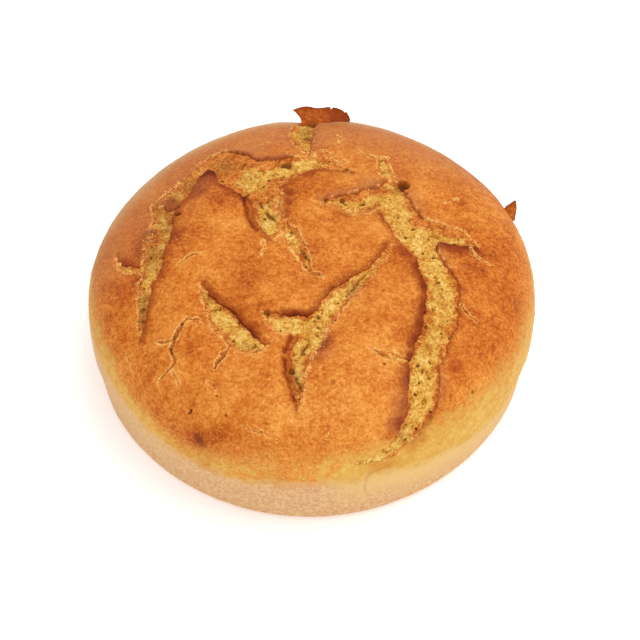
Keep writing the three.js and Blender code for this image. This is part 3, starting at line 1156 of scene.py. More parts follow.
# Its strongest dabs, at the back tear's corner, are painted shade in the hollow there.
BURNT_AND_SHADE_PATCHES = dabs(
    (-52, 58, 4.8, 1.2), (-55, 52.5, 4, 0.4), (-48.5, 52.5, 4, 0.4), (-43.5, 44, 3.4, 0.4),
    (-38, 38.5, 3.4, 0.5), (-33, 35, 3.4, 0.8), (-10.5, 35, 3, 0.9), (-11, 28, 3, 0.8),
    (-11.5, 22, 2.6, 0.6), (-27.5, -50, 4, 0.3), (-20, -38.5, 5, -0.9),
)
# Mauve dabs of painted grazing sheen and shade.
SHEEN_PATCHES = dabs(
    (41, -89.5, 4.6, 0.5), (37.5, -98.5, 4.1, 0.4), (3.5, -61.5, 5.5, 1), (-81, 13, 5, 0.5),
    (-73, 33, 5, 0.8), (61, -76, 4.5, 0.6), (60.5, -84, 4, 0.5), (28.5, 42.5, 6.4, 0.5),
    (9, 98.5, 6.4, 0.6), (-29, 70, 9.2, 0.5),
)

# Crumb toasted orange, crumb left pale and yellow, and crumb sunk in shade.
TOASTED_CRUMB = dabs(
    (-44, 58, 7), (-38, 52, 5, 0.8), (-50, 64, 5), (-34, 62, 6, 0.8), (-46, 70, 5, 0.8), (-44, 48, 5, 0.5),
    (-17, 41, 6, 0.8), (-25, 32, 5.5, 0.8), (-13, 57, 5, 0.5), (-22, 56, 5, 0.5), (24, 36, 5.5, 0.9),
    (17, 34, 4, 0.7), (36, 38, 4, 0.5), (69, 12, 4.5), (62, 13, 4, 0.6), (52, 15.5, 5, 0.6),
    (-63.5, 44, 5, 0.8), (-58.5, 50, 5, 0.8), (-71, 32.5, 5, 0.9), (-78.5, 9, 4, 0.6),
    (-79.5, -43.5, 4, 0.5), (12, 55, 5, 0.6),
)
PALE_CRUMB = dabs(
    (-21.5, 12.5, 4, 0.8), (-6, 55.5, 5, 0.6), (-74.5, -9, 4, 0.6), (42.5, 23, 5, 0.8), (46.5, 6.5, 6, 0.7),
    (57, 1, 6, 0.9), (69, 5.5, 3.5, 0.8), (60.5, -12, 6, 0.8), (52.5, -66.5, 5, 0.9), (50, -79, 6),
    (53, -90.5, 4, 0.8), (13, -34, 4, 0.3), (3.5, -48, 5, 0.6), (1, -57, 4, 0.6), (-10, -49.5, 5, 0.8),
    (-5.5, -60.5, 4, 0.7), (-33, -56, 5, 0.8), (-44, -44, 4, 0.6), (46, -104, 4, 1), (41, -111, 4, 1),
    (33.5, -117, 5, 1.2), (25.5, -120.5, 4, 1.2), (-9.5, 5.5, 3, 0.7),
)
SHADED_CRUMB = dabs(
    (-76, 1, 6, 0.8), (-71, 16, 7, 0.8), (-73, 34, 8, 1.2), (-67, 30, 4, 0.8), (-62, 47, 7, 0.9),
    (-77, -8, 6, 0.5), (-82, -29, 4, 0.6), (-42, 57, 5, 0.5), (-46, 63, 5, 0.4), (-80, -40, 5, 0.5),
    (-46, 60, 4, 0.4), (-31, 50, 5, 0.3), (-48.5, -31, 3, 0.8), (-7, -76, 3, 0.8), (-4, -81, 2.4, 0.6),
    (-1.5, 81, 4, 0.9), (-2.5, 90, 4, 0.9), (-79.5, -27.5, 2.5, 0.6), (-80.5, -36, 3),
    (20.5, -26.5, 3, 0.7), (18, -31, 2.4, 0.7), (-19.5, 18.5, 3, 0.7), (-14.5, 29, 3, 0.5),
    (-24.5, 27.5, 2.4, 0.6), (43, 39, 3.5, 0.8), (-30.5, -59.5, 2.4, 0.6), (-25.5, -60.5, 2, 0.5),
    (44.5, -101.5, 2.5, 0.6), (44.5, -107, 3, 0.6),
)

# How wide the golden band above the tin's rim is, and how strong: (direction, mm, strength).
GOLDEN_BAND: Rows = (
    (-180, 24, 0.55), (-150, 22, 0.75), (-135, 20, 0.75), (-122, 18, 0.66), (-106, 30, 0.64),
    (-98, 34, 0.5), (-90, 30, 0.5), (-82, 30, 0.85), (-74, 30, 0.95), (-60, 32, 0.95), (-50, 42, 0.9),
    (-42, 50, 0.9), (-32, 54, 0.86), (-18, 52, 0.8), (0, 44, 0.68), (12, 42, 0.62), (22, 38, 0.62),
    (35, 26, 0.55), (90, 20, 0.4), (150, 30, 0.5),
)


def patches(spot: Spot, several: tuple[Patch, ...]) -> Array:
    """Add up soft patches.

    Args:
        spot: The places.
        several: The patches.

    Returns:
        One value a place.
    """
    total = np.zeros(len(spot.place))
    for patch in several:
        away = np.hypot(spot.place[:, 0] - patch.across, spot.place[:, 1] - patch.back)
        total += patch.strength * bell(away, patch.radius)
    return total


def round_loaf(spot: Spot, rows: Array) -> Array:
    """Read values that are given for some directions from the crown.

    Args:
        spot: The places.
        rows: The direction in degrees and then the values, shape (m, 1 + k).

    Returns:
        The values in between, shape (n, k).
    """
    direction = np.degrees(np.arctan2(spot.place[:, 1], spot.place[:, 0]))
    return np.stack([np.interp(direction, rows[:, 0], column, period=360) for column in rows.T[1:]], -1)


def golden(spot: Spot, tin: Array) -> Array:
    """Say how golden the crust is where it comes down to the tin's rim.

    Args:
        spot: The places.
        tin: How far below the rim they are, in mm.

    Returns:
        From 0 for none to 1.
    """
    reach, full = round_loaf(spot, np.array(GOLDEN_BAND, float)).T
    return full * ease(tin / reach, -1.0, -0.2)


def groove_depth(width: Array) -> Array:
    """How deep a tear is for its half width, in mm."""
    return np.minimum(1.4 + 0.5 * width, 5.0)


@dataclass
class TornCrumb:
    """The crumb that shows in the tears: porous strips that reach in under the crust."""

    crackle: Crackle
    mesher: Mesher
    noise: Noise
    under: float = 0.8
    settle: float = 0.45
    swell: float = 1.6
    waves: float = 0.7
    lumps: float = 0.5
    large_pores: float = 1.2
    small_pores: float = 0.5
    tucked: float = 1.6
    step: float = 0.36
    thickness: float = 3.0

    def _level(self, spot: Spot) -> Array:
        """Shape the floor of the tears: low along the crust and swelling up in the middle.

        Args:
            spot: The places.

        Returns:
            Heights over the smooth loaf in mm.
        """
        depth = groove_depth(spot.width)
        share = np.clip(-spot.edge / np.maximum(spot.width, 0.5), 0, 1)
        middle = 0.28 * depth
        gutter = 0.85 * depth * spot.gutter
        calm = ease(-spot.edge, 0.0, 1.5)
        waves = self.waves * self.noise.fractal(spot.point, 9.0, 2, Draw.CRUMB_WAVES)
        return calm * waves - middle - (gutter - middle) * (1 - share) ** 2

    def _relief(self, spot: Spot) -> tuple[Array, Array, Array]:
        """Add lumps, pores and crevices to the floor of the tears.

        Args:
            spot: The places.

        Returns:
            Heights over the smooth loaf in mm, how deep in a pore, and how high on a lump.
        """
        noise = self.noise
        warp = [0.7 * noise.smooth(spot.point, 1.8, Draw.CRUMB_WARP + k) for k in range(3)]
        warped = spot.point + np.stack(warp, -1)
        lump = 0.45 * (1 - (noise.cells(warped, 2.1, Draw.CRUMB_GRAINS)[0] / 1.3) ** 2)
        lump += 0.95 * noise.fractal(warped, 4.0, 4, Draw.CRUMB_LUMPS)
        lump = np.clip(lump, -1.2, 1.5)
        share = np.clip(-spot.edge / np.maximum(spot.width, 0.5), 0, 1)
        row = share**2 * (1 - ease(spot.width, 3.5, 6.0))
        away, first, second = noise.cells(warped, 3.3, Draw.LARGE_PORES)
        large = ease(-away, -0.45 - 0.75 * second, -0.25 - 0.4 * second) * (first < 0.55 + 0.4 * row)
        away, first, second = noise.cells(warped, 1.6, Draw.SMALL_PORES)
        small = ease(-away, -0.33 - 0.4 * second, -0.1) * (first < 0.42)
        cut = ease(-spot.cut, -0.5, 0.9)
        height = self._level(spot) + self.lumps * lump
        height -= self.large_pores * large + self.small_pores * small
        height -= 0.4 * spot.cut_depth * cut + self.tucked * ease(spot.edge, -0.2, 0.5)
        # How deep in a pore and how high on a lump also set the crumb's painted shade and painted light.
        pore = np.clip(0.85 * large + 0.5 * small + 0.8 * cut, 0, 1)
        return height - self.swell - self.settle, pore, 0.5 + 0.34 * lump

    def _spacing(self, place: Array) -> Array:
        """Say where there is crumb: one fine spacing in and beside the tears, infinity elsewhere."""
        tears = self.crackle.tears
        return np.where(tears.read(tears.edge, place) < self.under + 2.0, self.step, np.inf)

    def build(self, material: Material) -> Piece:
        """Build the closed mesh.

        Args:
            material: Its finish.

        Returns:
            The piece.
        """
        reach = self.crackle.tears.REACH - 2
        place = self.mesher.scatter(reach, self._spacing, self.step, self.step)
        place = place[self.crackle.spot(place).edge < self.under]
        faces = triangulate(place)
        corners = place[faces]
        longest = np.linalg.norm(corners - np.roll(corners, 1, axis=1), axis=2).max(axis=1)
        faces = faces[longest < 2.2 * self.step]
        spot = self.crackle.spot(place)
        height, pore, lump = self._relief(spot)
        inside = -np.minimum(spot.edge, 0)
        layers = {
            "pore": pore,
            "lump": lump,
            "inside": inside,
            "half": spot.width,
            "toast": spot.toast,
            "warm": np.clip(patches(spot, TOASTED_CRUMB), 0, 1),
            "pale": np.clip(patches(spot, PALE_CRUMB), 0, 1),
            "shaded": np.clip(patches(spot, SHADED_CRUMB), 0, 1),
            "loose": ease(inside, 0.0, 0.6) * (1 - pore),
        }
        top = spot.point + spot.out * height[:, None]
        points, faces, layers = self._close(spot, top, faces, layers)
        return make_piece("crumb", points, faces, layers, material)

    def _close(self, spot: Spot, top: Array, faces: Array, layers: Layers) -> Shell:
        """Give the strips a plain back, so that they are closed.

        Args:
            spot: The places.
            top: The strips' vertices there.
            faces: The strips' triangles.
            layers: Their named values.

        Returns:
            The closed strips' vertices, triangles and named values.
        """
        border = self._border(faces)
        rim = np.unique(border)
        number = np.full(len(top), -1)
        number[rim] = np.arange(len(rim)) + len(top)
        back = top[rim] - spot.out[rim] * self.thickness
        behind = number[rim[self._fill(spot.place[rim], np.searchsorted(rim, border))]][:, ::-1]
        a, b = border[:, 0], border[:, 1]
        sides = np.concatenate(
            [np.stack([b, a, number[a]], -1), np.stack([b, number[a], number[b]], -1)]
        )
        points = np.concatenate([top, back])
        layers["loose"][rim] = 0
        layers = {name: np.concatenate([values, values[rim]]) for name, values in layers.items()}
        faces = np.concatenate([faces, behind, sides])
        used = np.unique(faces)
        compact = np.full(len(points), -1)
        compact[used] = np.arange(len(used))
        return points[used], compact[faces], {name: values[used] for name, values in layers.items()}

    @staticmethod
    def _border(faces: Array) -> Array:
        """Find the edges that only one face has.

        Args:
            faces: Corner numbers, shape (m, 3).

        Returns:
            The edges, each with its face on its left, shape (k, 2).
        """
        edges = np.concatenate([faces[:, [0, 1]], faces[:, [1, 2]], faces[:, [2, 0]]])
        count = int(faces.max()) + 1
        codes = edges[:, 0] * count + edges[:, 1]
        return edges[~np.isin(codes, edges[:, 1] * count + edges[:, 0])]

    @staticmethod
    def _fill(place: Array, border: Array) -> Array:
        """Fill loops of directed edges with triangles that have no vertices inside.

        Args:
            place: The loops' places, shape (n, 2).
            border: The loops' edges, with the filled side on their left.

        Returns:
            Corner numbers, shape (m, 3).
        """
        walls = [tuple(edge) for edge in border.tolist()]
        faces = triangulate(place, walls)
        sides = [((a, b), (b, c), (c, a)) for a, b, c in faces.tolist()]
        owner = {edge: k for k, edges in enumerate(sides) for edge in edges}
        closed = set(walls)
        queue = [owner[edge] for edge in closed if edge in owner]
        inside = set(queue)
        while queue:
            for a, b in sides[queue.pop()]:
                other = owner.get((b, a))
                if (a, b) not in closed and other is not None and other not in inside:
                    inside.add(other)
                    queue.append(other)
        return faces[sorted(inside)]


# -------- ears of crust


@dataclass
class Ear:
    """A flap of crust that a tear stood up on end: a thin ragged sheet, closed all round.

    A station is where its foot stands, how far its top leans along it, and its height: (across,
    back, lean along, height). Its toasts say how toasted it is from one end to the other. Its root
    reaches into the crust.
    """

    form: LoafForm
    noise: Noise
    name: str
    stations: Rows
    toasts: tuple[float, ...]
    lean: float = 0.4
    thickness: float = 1.1
    rim_thickness: float = 0.45
    root: float = 2.5
    bow: float = 0.6
    crest: float = 0.2
    roughness: float = 0.16
    brown: float = 0.62
    rows: int = 22
    step: float = 0.22

    def _frame(self, place: Array) -> tuple[Array, Array, Array]:
        """Find which way the ear runs at its foot.

        Args:
            place: Places along its foot on the crust map.

        Returns:
            Unit directions away from the crown, up the ear, and along it.
        """
        away = np.pad(place, ((0, 0), (0, 1)))
        away /= np.linalg.norm(away, axis=1, keepdims=True)
        rise = self.form.outward(place) + self.lean * away
        rise /= np.linalg.norm(rise, axis=1, keepdims=True)
        along = np.gradient(self.form.surface(place), axis=0)
        along /= np.linalg.norm(along, axis=1, keepdims=True)
        return away, rise, along

    def build(self, material: Material) -> Piece:
        """Build the closed mesh.

        Args:
            material: Its finish.

        Returns:
            The piece.
        """
        row = spline(self.stations, self.step)
        columns = len(row)
        height = np.maximum(row[:, 3], 0.15)
        away, rise, along = self._frame(row[:, :2])
        foot = self.form.surface(row[:, :2]) - rise * self.root
        thin = np.cross(rise, along)
        share = np.linspace(0, 1, self.rows)
        level = share[:, None] * (self.root + height)
        above = np.clip((level - self.root) / height, 0, 1)
        spread = above**1.3 * row[:, 2]
        bow = self.bow * np.sin(math.pi * above)
        middle = foot + level[..., None] * rise
        middle += spread[..., None] * along + bow[..., None] * away
        flat = middle.reshape(-1, 3)
        waver = 0.55 * self.noise.smooth(flat, 4.5, Draw.EAR_WAVER)
        waver += 0.22 * self.noise.smooth(flat, 1.6, Draw.EAR_CREASES)
        middle += (waver.reshape(level.shape) * above)[..., None] * thin
        half = self.thickness + (self.rim_thickness - self.thickness) * above**0.7
        sides = []
        for salt, facing in ((Draw.EAR_FACES, 0.5), (Draw.EAR_FACES + 2, -0.5)):
            rough = self.roughness * self.noise.fractal(flat, 1.3, 2, salt).reshape(level.shape)
            sides.append(middle + ((half + rough) * facing)[..., None] * thin)
        front, back = sides
        crest = (front[-1] + back[-1]) / 2 + rise * self.crest
        rings = np.concatenate([front, crest[None], back[::-1]])
        points = rings.transpose(1, 0, 2).reshape(-1, 3)
        shown = np.concatenate([above, np.ones((1, columns)), above[::-1]]).T.ravel()
        ends = np.linspace(0, 1, len(self.toasts))
        toasts = np.interp(np.linspace(0, 1, columns), ends, self.toasts)
        toast = np.repeat(toasts, len(rings)) + 0.45 * ease(shown, 0.8, 1.0)
        toast += 0.18 * self.noise.fractal(points, 3.5, 3, Draw.EAR_TOAST)
        none = ("rim", "loose", "broken", "crack", "golden", "painted_sheen", "faded")
        layers = {name: np.zeros(len(points)) for name in none}
        layers["brown"] = np.full(len(points), self.brown)
        layers["toast"] = np.clip(toast, 0, 1)
        layers["tin"] = np.full(len(points), -60.0)
        return make_piece(self.name, points, self._skin(columns, len(rings)), layers, material)

    @staticmethod
    def _skin(columns: int, count: int) -> Array:
        """Triangles that join a row of rings and close both ends.

        Args:
            columns: How many rings.
            count: How many points a ring has, the first half up one face and the rest down the other.

        Returns:
            Corner numbers, shape (m, 3).
        """
        i, k = np.meshgrid(np.arange(columns - 1), np.arange(count), indexing="ij")
        a, b = i * count + k, i * count + (k + 1) % count
        c, d = a + count, b + count
        skin = [np.stack([a, c, b], -1).reshape(-1, 3), np.stack([b, c, d], -1).reshape(-1, 3)]
        up = np.arange(count // 2)
        down = count - 1 - up
        for start, turn in ((0, 1), ((columns - 1) * count, -1)):
            low = np.stack([up[:-1], up[1:], down[:-1]], -1) + start
            high = np.stack([up[1:], down[1:], down[:-1]], -1) + start
            crest = np.array([[up[-1], up[-1] + 1, down[-1]]]) + start
            skin.extend(part[:, ::turn] for part in (low, high, crest))
        return np.concatenate(skin)[:, ::-1]


# -------- shader nodes


def colour(red: float, green: float, blue: float) -> Colour:
    """Turn a display colour of 0 to 255 into the linear one that shaders take.

    Args:
        red: Its red part.
        green: Its green part.
        blue: Its blue part.

    Returns:
        The linear colour, opaque.
    """
    linear = [
        c / 12.92 if c <= 0.04045 else ((c + 0.055) / 1.055) ** 2.4
        for c in (red / 255, green / 255, blue / 255)
    ]
    return (linear[0], linear[1], linear[2], 1.0)


class Graph:
    """Places and joins the nodes of one node tree."""

    def __init__(self, tree: Tree) -> None:
        """Start with an empty tree."""
        self.tree = tree
        tree.nodes.clear()

    def add(
        self, kind: str, inputs: dict[str | int, object] | None = None, **settings: object
    ) -> Node:
        """Add a node.

        Args:
            kind: The node's type.
            inputs: Numbers, colours or sockets to feed it, by input name or number.
            **settings: The node's own properties.

        Returns:
            The node.
        """
        node = self.tree.nodes.new(kind)
        for name, value in settings.items():
            setattr(node, name, value)
        for name, value in (inputs or {}).items():
            if isinstance(value, Socket):
                self.tree.links.new(value, node.inputs[name])
            else:
                node.inputs[name].default_value = value
        return node

    def math(self, operation: str, *values: Feed) -> Socket:
        """Combine numbers or sockets by one operation."""
        node = self.add("ShaderNodeMath", dict(enumerate(values)), operation=operation)
        return node.outputs[0]

    def sway(self, value: Feed, by: Socket, strength: float) -> Socket:
        """Shift a value by a noise of about 0.5, so many times as strong."""
        return self.math("MULTIPLY_ADD", self.math("SUBTRACT", by, 0.5), strength, value)

    def layer(self, name: str) -> Socket:
        """Read one of the mesh's named values."""
        return self.add("ShaderNodeAttribute", attribute_name=name).outputs["Fac"]

    def rise(
        self, value: Feed, start: float, end: float, low: float = 0.0, high: float = 1.0
    ) -> Socket:
        """Run smoothly from low at start to high at end."""
        inputs = {"Value": value, 1: start, 2: end, 3: low, 4: high}
        return self.add("ShaderNodeMapRange", inputs, interpolation_type="SMOOTHSTEP").outputs[0]

    def mix(self, share: Feed, first: Feed, second: Feed) -> Socket:
        """Mix two colours by share."""
        return self.add("ShaderNodeMix", {0: share, 6: first, 7: second}, data_type="RGBA").outputs[2]

    def ramp(self, value: Feed, stops: tuple[tuple[float, Colour], ...]) -> Socket:
        """Give each value its colour along a row of stops.

        Args:
            value: The value.
            stops: The row, as (value, colour).

        Returns:
            The colour.
        """
        node = self.add("ShaderNodeValToRGB", {"Fac": value})
        elements = node.color_ramp.elements
        while len(elements) < len(stops):
            elements.new(1.0)
        for element, (position, shade) in zip(elements, stops):
            element.position = position
            element.color = shade
        return node.outputs["Color"]

    def group(self, group: Tree, **inputs: Feed) -> Node:
        """Place a shared group.

        Args:
            group: The group.
            **inputs: Its inputs by name, with an underscore for a space.

        Returns:
            The node.
        """
        named = {name.replace("_", " ").capitalize(): value for name, value in inputs.items()}
        return self.add("ShaderNodeGroup", named, node_tree=group)

    def finish(self, inputs: dict[str | int, object]) -> None:
        """End a material's tree in a Principled surface with those inputs."""
        shader = self.add("ShaderNodeBsdfPrincipled", inputs)
        self.add("ShaderNodeOutputMaterial", {"Surface": shader.outputs[0]})


def start_material(name: str) -> tuple[Material, Graph]:
    """Start a material.

    Args:
        name: Its name.

    Returns:
        The material and the graph of its empty tree.
    """
    material = bpy.data.materials.new(name)
    material.use_nodes = True
    return material, Graph(material.node_tree)


def start_group(
    name: str, inputs: dict[str, float | None], outputs: tuple[str, ...]
) -> tuple[Graph, Node, Node]:
    """Start a shader node group.

    Args:
        name: The group's name.
        inputs: Its inputs with their usual values, None for the place.
        outputs: Its outputs, all plain values.

    Returns:
        Its graph, its input node and its output node.
    """
    tree = bpy.data.node_groups.new(name, "ShaderNodeTree")
    for socket, value in inputs.items():
        kind = "NodeSocketVector" if value is None else "NodeSocketFloat"
        made = tree.interface.new_socket(socket, in_out="INPUT", socket_type=kind)
        if value is not None:
            made.default_value = value
    for socket in outputs:
        tree.interface.new_socket(socket, in_out="OUTPUT", socket_type="NodeSocketFloat")
    graph = Graph(tree)
    return graph, graph.add("NodeGroupInput"), graph.add("NodeGroupOutput")


class Effects:
    """The shader node groups that the finishes share."""

    def __init__(self) -> None:
        """Build them all."""
        self.mottle = self._mottle()
        self.specks = self._specks()
        self.grain = self._grain()

    @staticmethod
    def _mottle() -> Tree:
        """Build the uneven browning.

        Returns:
            A group that gives broad clouds and a fine mottle, both about 0.5.
        """
        graph, given, made = start_group(
            "mottle", {"Place": None, "Cloud size": 20.0, "Mottle size": 1.6}, ("Cloud", "Mottle")
        )
        place = given.outputs["Place"]
        for output, detail in (("Cloud", 3.0), ("Mottle", 2.0)):
            scale = graph.math("DIVIDE", 1 / MM, given.outputs[f"{output} size"])
            inputs = {"Vector": place, "Scale": scale, "Detail": detail, "Roughness": 0.6}
            noise = graph.add("ShaderNodeTexNoise", inputs)
            graph.tree.links.new(noise.outputs["Fac"], made.inputs[output])
        return graph.tree

    @staticmethod
    def _specks() -> Tree:
        """Build small round specks, strewn unevenly.

        Returns:
            A group that gives 1 in a speck and 0 outside.
        """
        graph, given, made = start_group(
            "specks", {"Place": None, "Spacing": 3.0, "Radius": 0.3, "Share": 0.3}, ("Mask",)
        )
        scale = graph.math("DIVIDE", 1 / MM, given.outputs["Spacing"])
        inputs = {"Vector": given.outputs["Place"], "Scale": scale}
        seeds = graph.add("ShaderNodeTexVoronoi", inputs)
        chance = graph.add("ShaderNodeSeparateColor", {0: seeds.outputs["Color"]})
        size = graph.math("DIVIDE", given.outputs["Radius"], given.outputs["Spacing"])
        size = graph.math("MULTIPLY", size, graph.math("ADD", 0.5, chance.outputs[1]))
        near = graph.math("SUBTRACT", 1.0, graph.math("DIVIDE", seeds.outputs["Distance"], size))
        inside = graph.math("SMOOTH_MIN", 1.0, graph.math("MULTIPLY", 2.0, near), 0.3)
        kept = graph.math("LESS_THAN", chance.outputs[0], given.outputs["Share"])
        mask = graph.math("MULTIPLY", graph.math("MAXIMUM", 0.0, inside), kept)
        graph.tree.links.new(mask, made.inputs["Mask"])
        return graph.tree

    @staticmethod
    def _grain() -> Tree:
        """Build the relief of fine baked grain.

        Returns:
            A group that gives a height of about 0 to 1.
        """
        graph, given, made = start_group("grain", {"Place": None, "Size": 0.8}, ("Height",))
        scale = graph.math("DIVIDE", 1 / MM, given.outputs["Size"])
        inputs = {"Vector": given.outputs["Place"], "Scale": scale}
        lumps = graph.add("ShaderNodeTexVoronoi", inputs)
        noise = graph.add("ShaderNodeTexNoise", {**inputs, "Detail": 4.0, "Roughness": 0.62})
        height = graph.math("MULTIPLY_ADD", lumps.outputs["Distance"], -0.5, noise.outputs["Fac"])
        graph.tree.links.new(height, made.inputs["Height"])
        return graph.tree


# -------- loose bits


class NodeTree(Graph):
    """A Geometry Nodes tree: a graph whose inputs are set on a modifier."""

    KINDS = {float: "NodeSocketFloat", int: "NodeSocketInt", tuple: "NodeSocketVector"}

    def __init__(self, name: str, inputs: dict[str, float | int | tuple[float, ...]]) -> None:
        """Start the tree with a mesh going in and a mesh coming out.

        Args:
            name: Its name.
            inputs: Its other inputs with their usual values.
        """
        super().__init__(bpy.data.node_groups.new(name, "GeometryNodeTree"))
        face = self.tree.interface
        face.new_socket("Mesh", in_out="INPUT", socket_type="NodeSocketGeometry")
        face.new_socket("Mesh", in_out="OUTPUT", socket_type="NodeSocketGeometry")
        for socket, value in inputs.items():
            kind = self.KINDS[type(value)]
            face.new_socket(socket, in_out="INPUT", socket_type=kind).default_value = value
        self.given = self.add("NodeGroupInput").outputs

    def end(self, geometry: Socket, material: Material) -> None:
        """Make what is instanced real, give it its finish and hand it out.

        Args:
            geometry: What the tree has made.
            material: The finish.
        """
        real = self.add("GeometryNodeRealizeInstances", {"Geometry": geometry})
        smooth = self.add("GeometryNodeSetShadeSmooth", {"Geometry": real.outputs[0]})
        inputs = {"Geometry": smooth.outputs[0], "Material": material}
        dressed = self.add("GeometryNodeSetMaterial", inputs)
        self.add("NodeGroupOutput", {"Mesh": dressed.outputs[0]})

    def apply(self, name: str, over: Piece, settings: dict[str, object]) -> Piece:
        """Run the tree over a piece's mesh.

        Args:
            name: The new piece's name.
            over: The piece it starts from, which stays as it is.
            settings: Values for the named inputs.

        Returns:
            The new piece, a plain mesh.
        """
        piece = add_object(name, over.data)
        modifier = piece.modifiers.new(name, "NODES")
        modifier.node_group = self.tree
        for item in self.tree.interface.items_tree:
            if item.in_out == "INPUT" and item.name in settings:
                modifier[item.identifier] = settings[item.name]
        depsgraph = bpy.context.evaluated_depsgraph_get()
        mesh = bpy.data.meshes.new_from_object(piece.evaluated_get(depsgraph))
        piece.modifiers.remove(modifier)
        piece.data = mesh
        mesh.name = name
        return piece


@dataclass
class LooseBits:
    """Small lumps or flakes strewn over a piece where its loose layer says, sized in mm."""

    name: str
    per_cm2: float
    smallest: tuple[float, float, float]
    largest: tuple[float, float, float]
    seed: int
    tilt: float = 0.5
    turn_seed: int = 77
    tint_seed: int = 31
    subdivisions: int = 2

    def strew(self, over: Piece, material: Material) -> Piece:
        """Strew them over a piece.

        Args:
            over: The piece they lie on.
            material: Their finish.

        Returns:
            All of them as one piece.
        """
        settings = {
            "Density": self.per_cm2 * 1e4,
            "Smallest": tuple(size * MM / 2 for size in self.smallest),
            "Largest": tuple(size * MM / 2 for size in self.largest),
            "Tilt": self.tilt,
            "Seed": self.seed,
        }
        return self._tree(material, settings).apply(self.name, over, settings)

    def _tree(self, material: Material, settings: dict[str, object]) -> NodeTree:
        """Build the tree that strews them.

        Args:
            material: Their finish.
            settings: Its named inputs.

        Returns:
            The tree.
        """
        tree = NodeTree(self.name, settings)
        given = tree.given
        loose = tree.add("GeometryNodeInputNamedAttribute", {"Name": "loose"}).outputs[0]
        density = tree.math("MULTIPLY", given["Density"], loose)
        points = tree.add(
            "GeometryNodeDistributePointsOnFaces",
            {"Mesh": given["Mesh"], "Density": density, "Seed": given["Seed"]},
        )
        size = tree.add(
            "FunctionNodeRandomValue",
            {0: given["Smallest"], 1: given["Largest"], "Seed": given["Seed"]},
            data_type="FLOAT_VECTOR",
        )
        tilt = tree.math("MULTIPLY", given["Tilt"], -1.0)
        lowest = tree.add("ShaderNodeCombineXYZ", {0: tilt, 1: tilt, 2: -math.pi})
        highest = tree.add("ShaderNodeCombineXYZ", {0: given["Tilt"], 1: given["Tilt"], 2: math.pi})
        turn = tree.add(
            "FunctionNodeRandomValue",
            {0: lowest.outputs[0], 1: highest.outputs[0], "Seed": self.turn_seed},
            data_type="FLOAT_VECTOR",
        )
        turned = tree.add(
            "FunctionNodeRotateRotation",
            {"Rotation": points.outputs["Rotation"], "Rotate By": turn.outputs[0]},
            rotation_space="LOCAL",
        )
        chance = tree.add("FunctionNodeRandomValue", {"Seed": self.tint_seed}, data_type="FLOAT")
        bits = tree.add(
            "GeometryNodeInstanceOnPoints",
            {
                "Points": points.outputs["Points"],
                "Instance": self._shape(tree),
                "Rotation": turned.outputs[0],
                "Scale": size.outputs[0],
            },
        )
        tinted = tree.add(
            "GeometryNodeStoreNamedAttribute",
            {"Geometry": bits.outputs[0], "Name": "tint", "Value": chance.outputs[1]},
            data_type="FLOAT",
            domain="INSTANCE",
        )
        tree.end(tinted.outputs[0], material)
        return tree

    def _shape(self, tree: NodeTree) -> Socket:
        """Add a lumpy ball of radius 1 to the tree, for the bits to be made from.

        Args:
            tree: The tree.

        Returns:
            The ball.
        """
        inputs = {"Radius": 1.0, "Subdivisions": self.subdivisions}
        ball = tree.add("GeometryNodeMeshIcoSphere", inputs)
        bumps = tree.add("ShaderNodeTexNoise", {"Scale": 1.1, "Detail": 1.0})
        inputs = {0: bumps.outputs["Color"], 1: (0.5, 0.5, 0.5)}
        shift = tree.add("ShaderNodeVectorMath", inputs, operation="SUBTRACT")
        inputs = {"Geometry": ball.outputs[0], "Offset": shift.outputs[0]}
        return tree.add("GeometryNodeSetPosition", inputs).outputs[0]


# -------- finishes


@dataclass(frozen=True)
class CrustFinish:
    """Browned crust, its toasted and pale edges, and the pale side that stood in the tin."""

    pale: Colour = colour(246, 190, 104)
    golden: Colour = colour(236, 156, 68)
    plain: Colour = colour(213, 122, 40)
    brown: Colour = colour(182, 84, 14)
    dark: Colour = colour(126, 46, 8)
    toasted: Colour = colour(146, 58, 8)
    burnt: Colour = colour(104, 36, 4)
    rim: Colour = colour(240, 170, 100)
    crumbs: Colour = colour(244, 186, 100)
    fleck: Colour = colour(240, 168, 88)
    # Dark of the slits, painted shade inside them, and of small specks.
    crack: Colour = colour(120, 58, 12)
    side: Colour = colour(228, 186, 137)
    side_brown: Colour = colour(204, 153, 102)
    side_gold: Colour = colour(228, 188, 116)
    band: Colour = colour(218, 168, 72)
    band_pale: Colour = colour(230, 190, 94)
    band_brown: Colour = colour(206, 130, 46)
    # Mauve of painted grazing sheen and shade, pale beige of the painted sheen on the far shoulder, and
    # toasted crust under that sheen.
    painted_sheen: Colour = colour(190, 116, 68)
    faded: Colour = colour(212, 174, 122)
    toasted_sheen: Colour = colour(150, 70, 34)
    patch_size: float = 4.5
    finest_size: float = 0.7
    grain_size: float = 0.8
    roughness: float = 0.6
    specular: float = 0.12
    relief: float = 0.35

    def material(self, effects: Effects) -> Material:
        """Build the material.

        Args:
            effects: The shared groups.

        Returns:
            The material.
        """
        material, graph = start_material("crust")
        paint = CrustPaint(self, graph, effects)
        paint.brown_the_top()
        paint.toast_the_edges()
        paint.lay_the_band()
        paint.lay_the_side()
        paint.darken_the_cracks()
        grain = graph.group(effects.grain, place=paint.place, size=self.grain_size)
        inputs = {"Strength": 0.6, "Distance": self.relief * MM, "Height": grain.outputs["Height"]}
        bump = graph.add("ShaderNodeBump", inputs)
        rough = (self.roughness - 0.08, self.roughness + 0.08)
        graph.finish(
            {
                "Base Color": paint.shade,
                "Roughness": graph.rise(paint.fine, 0.3, 0.7, *rough),
                "Specular IOR Level": self.specular,
                "Normal": bump.outputs[0],
            }
        )
        return material


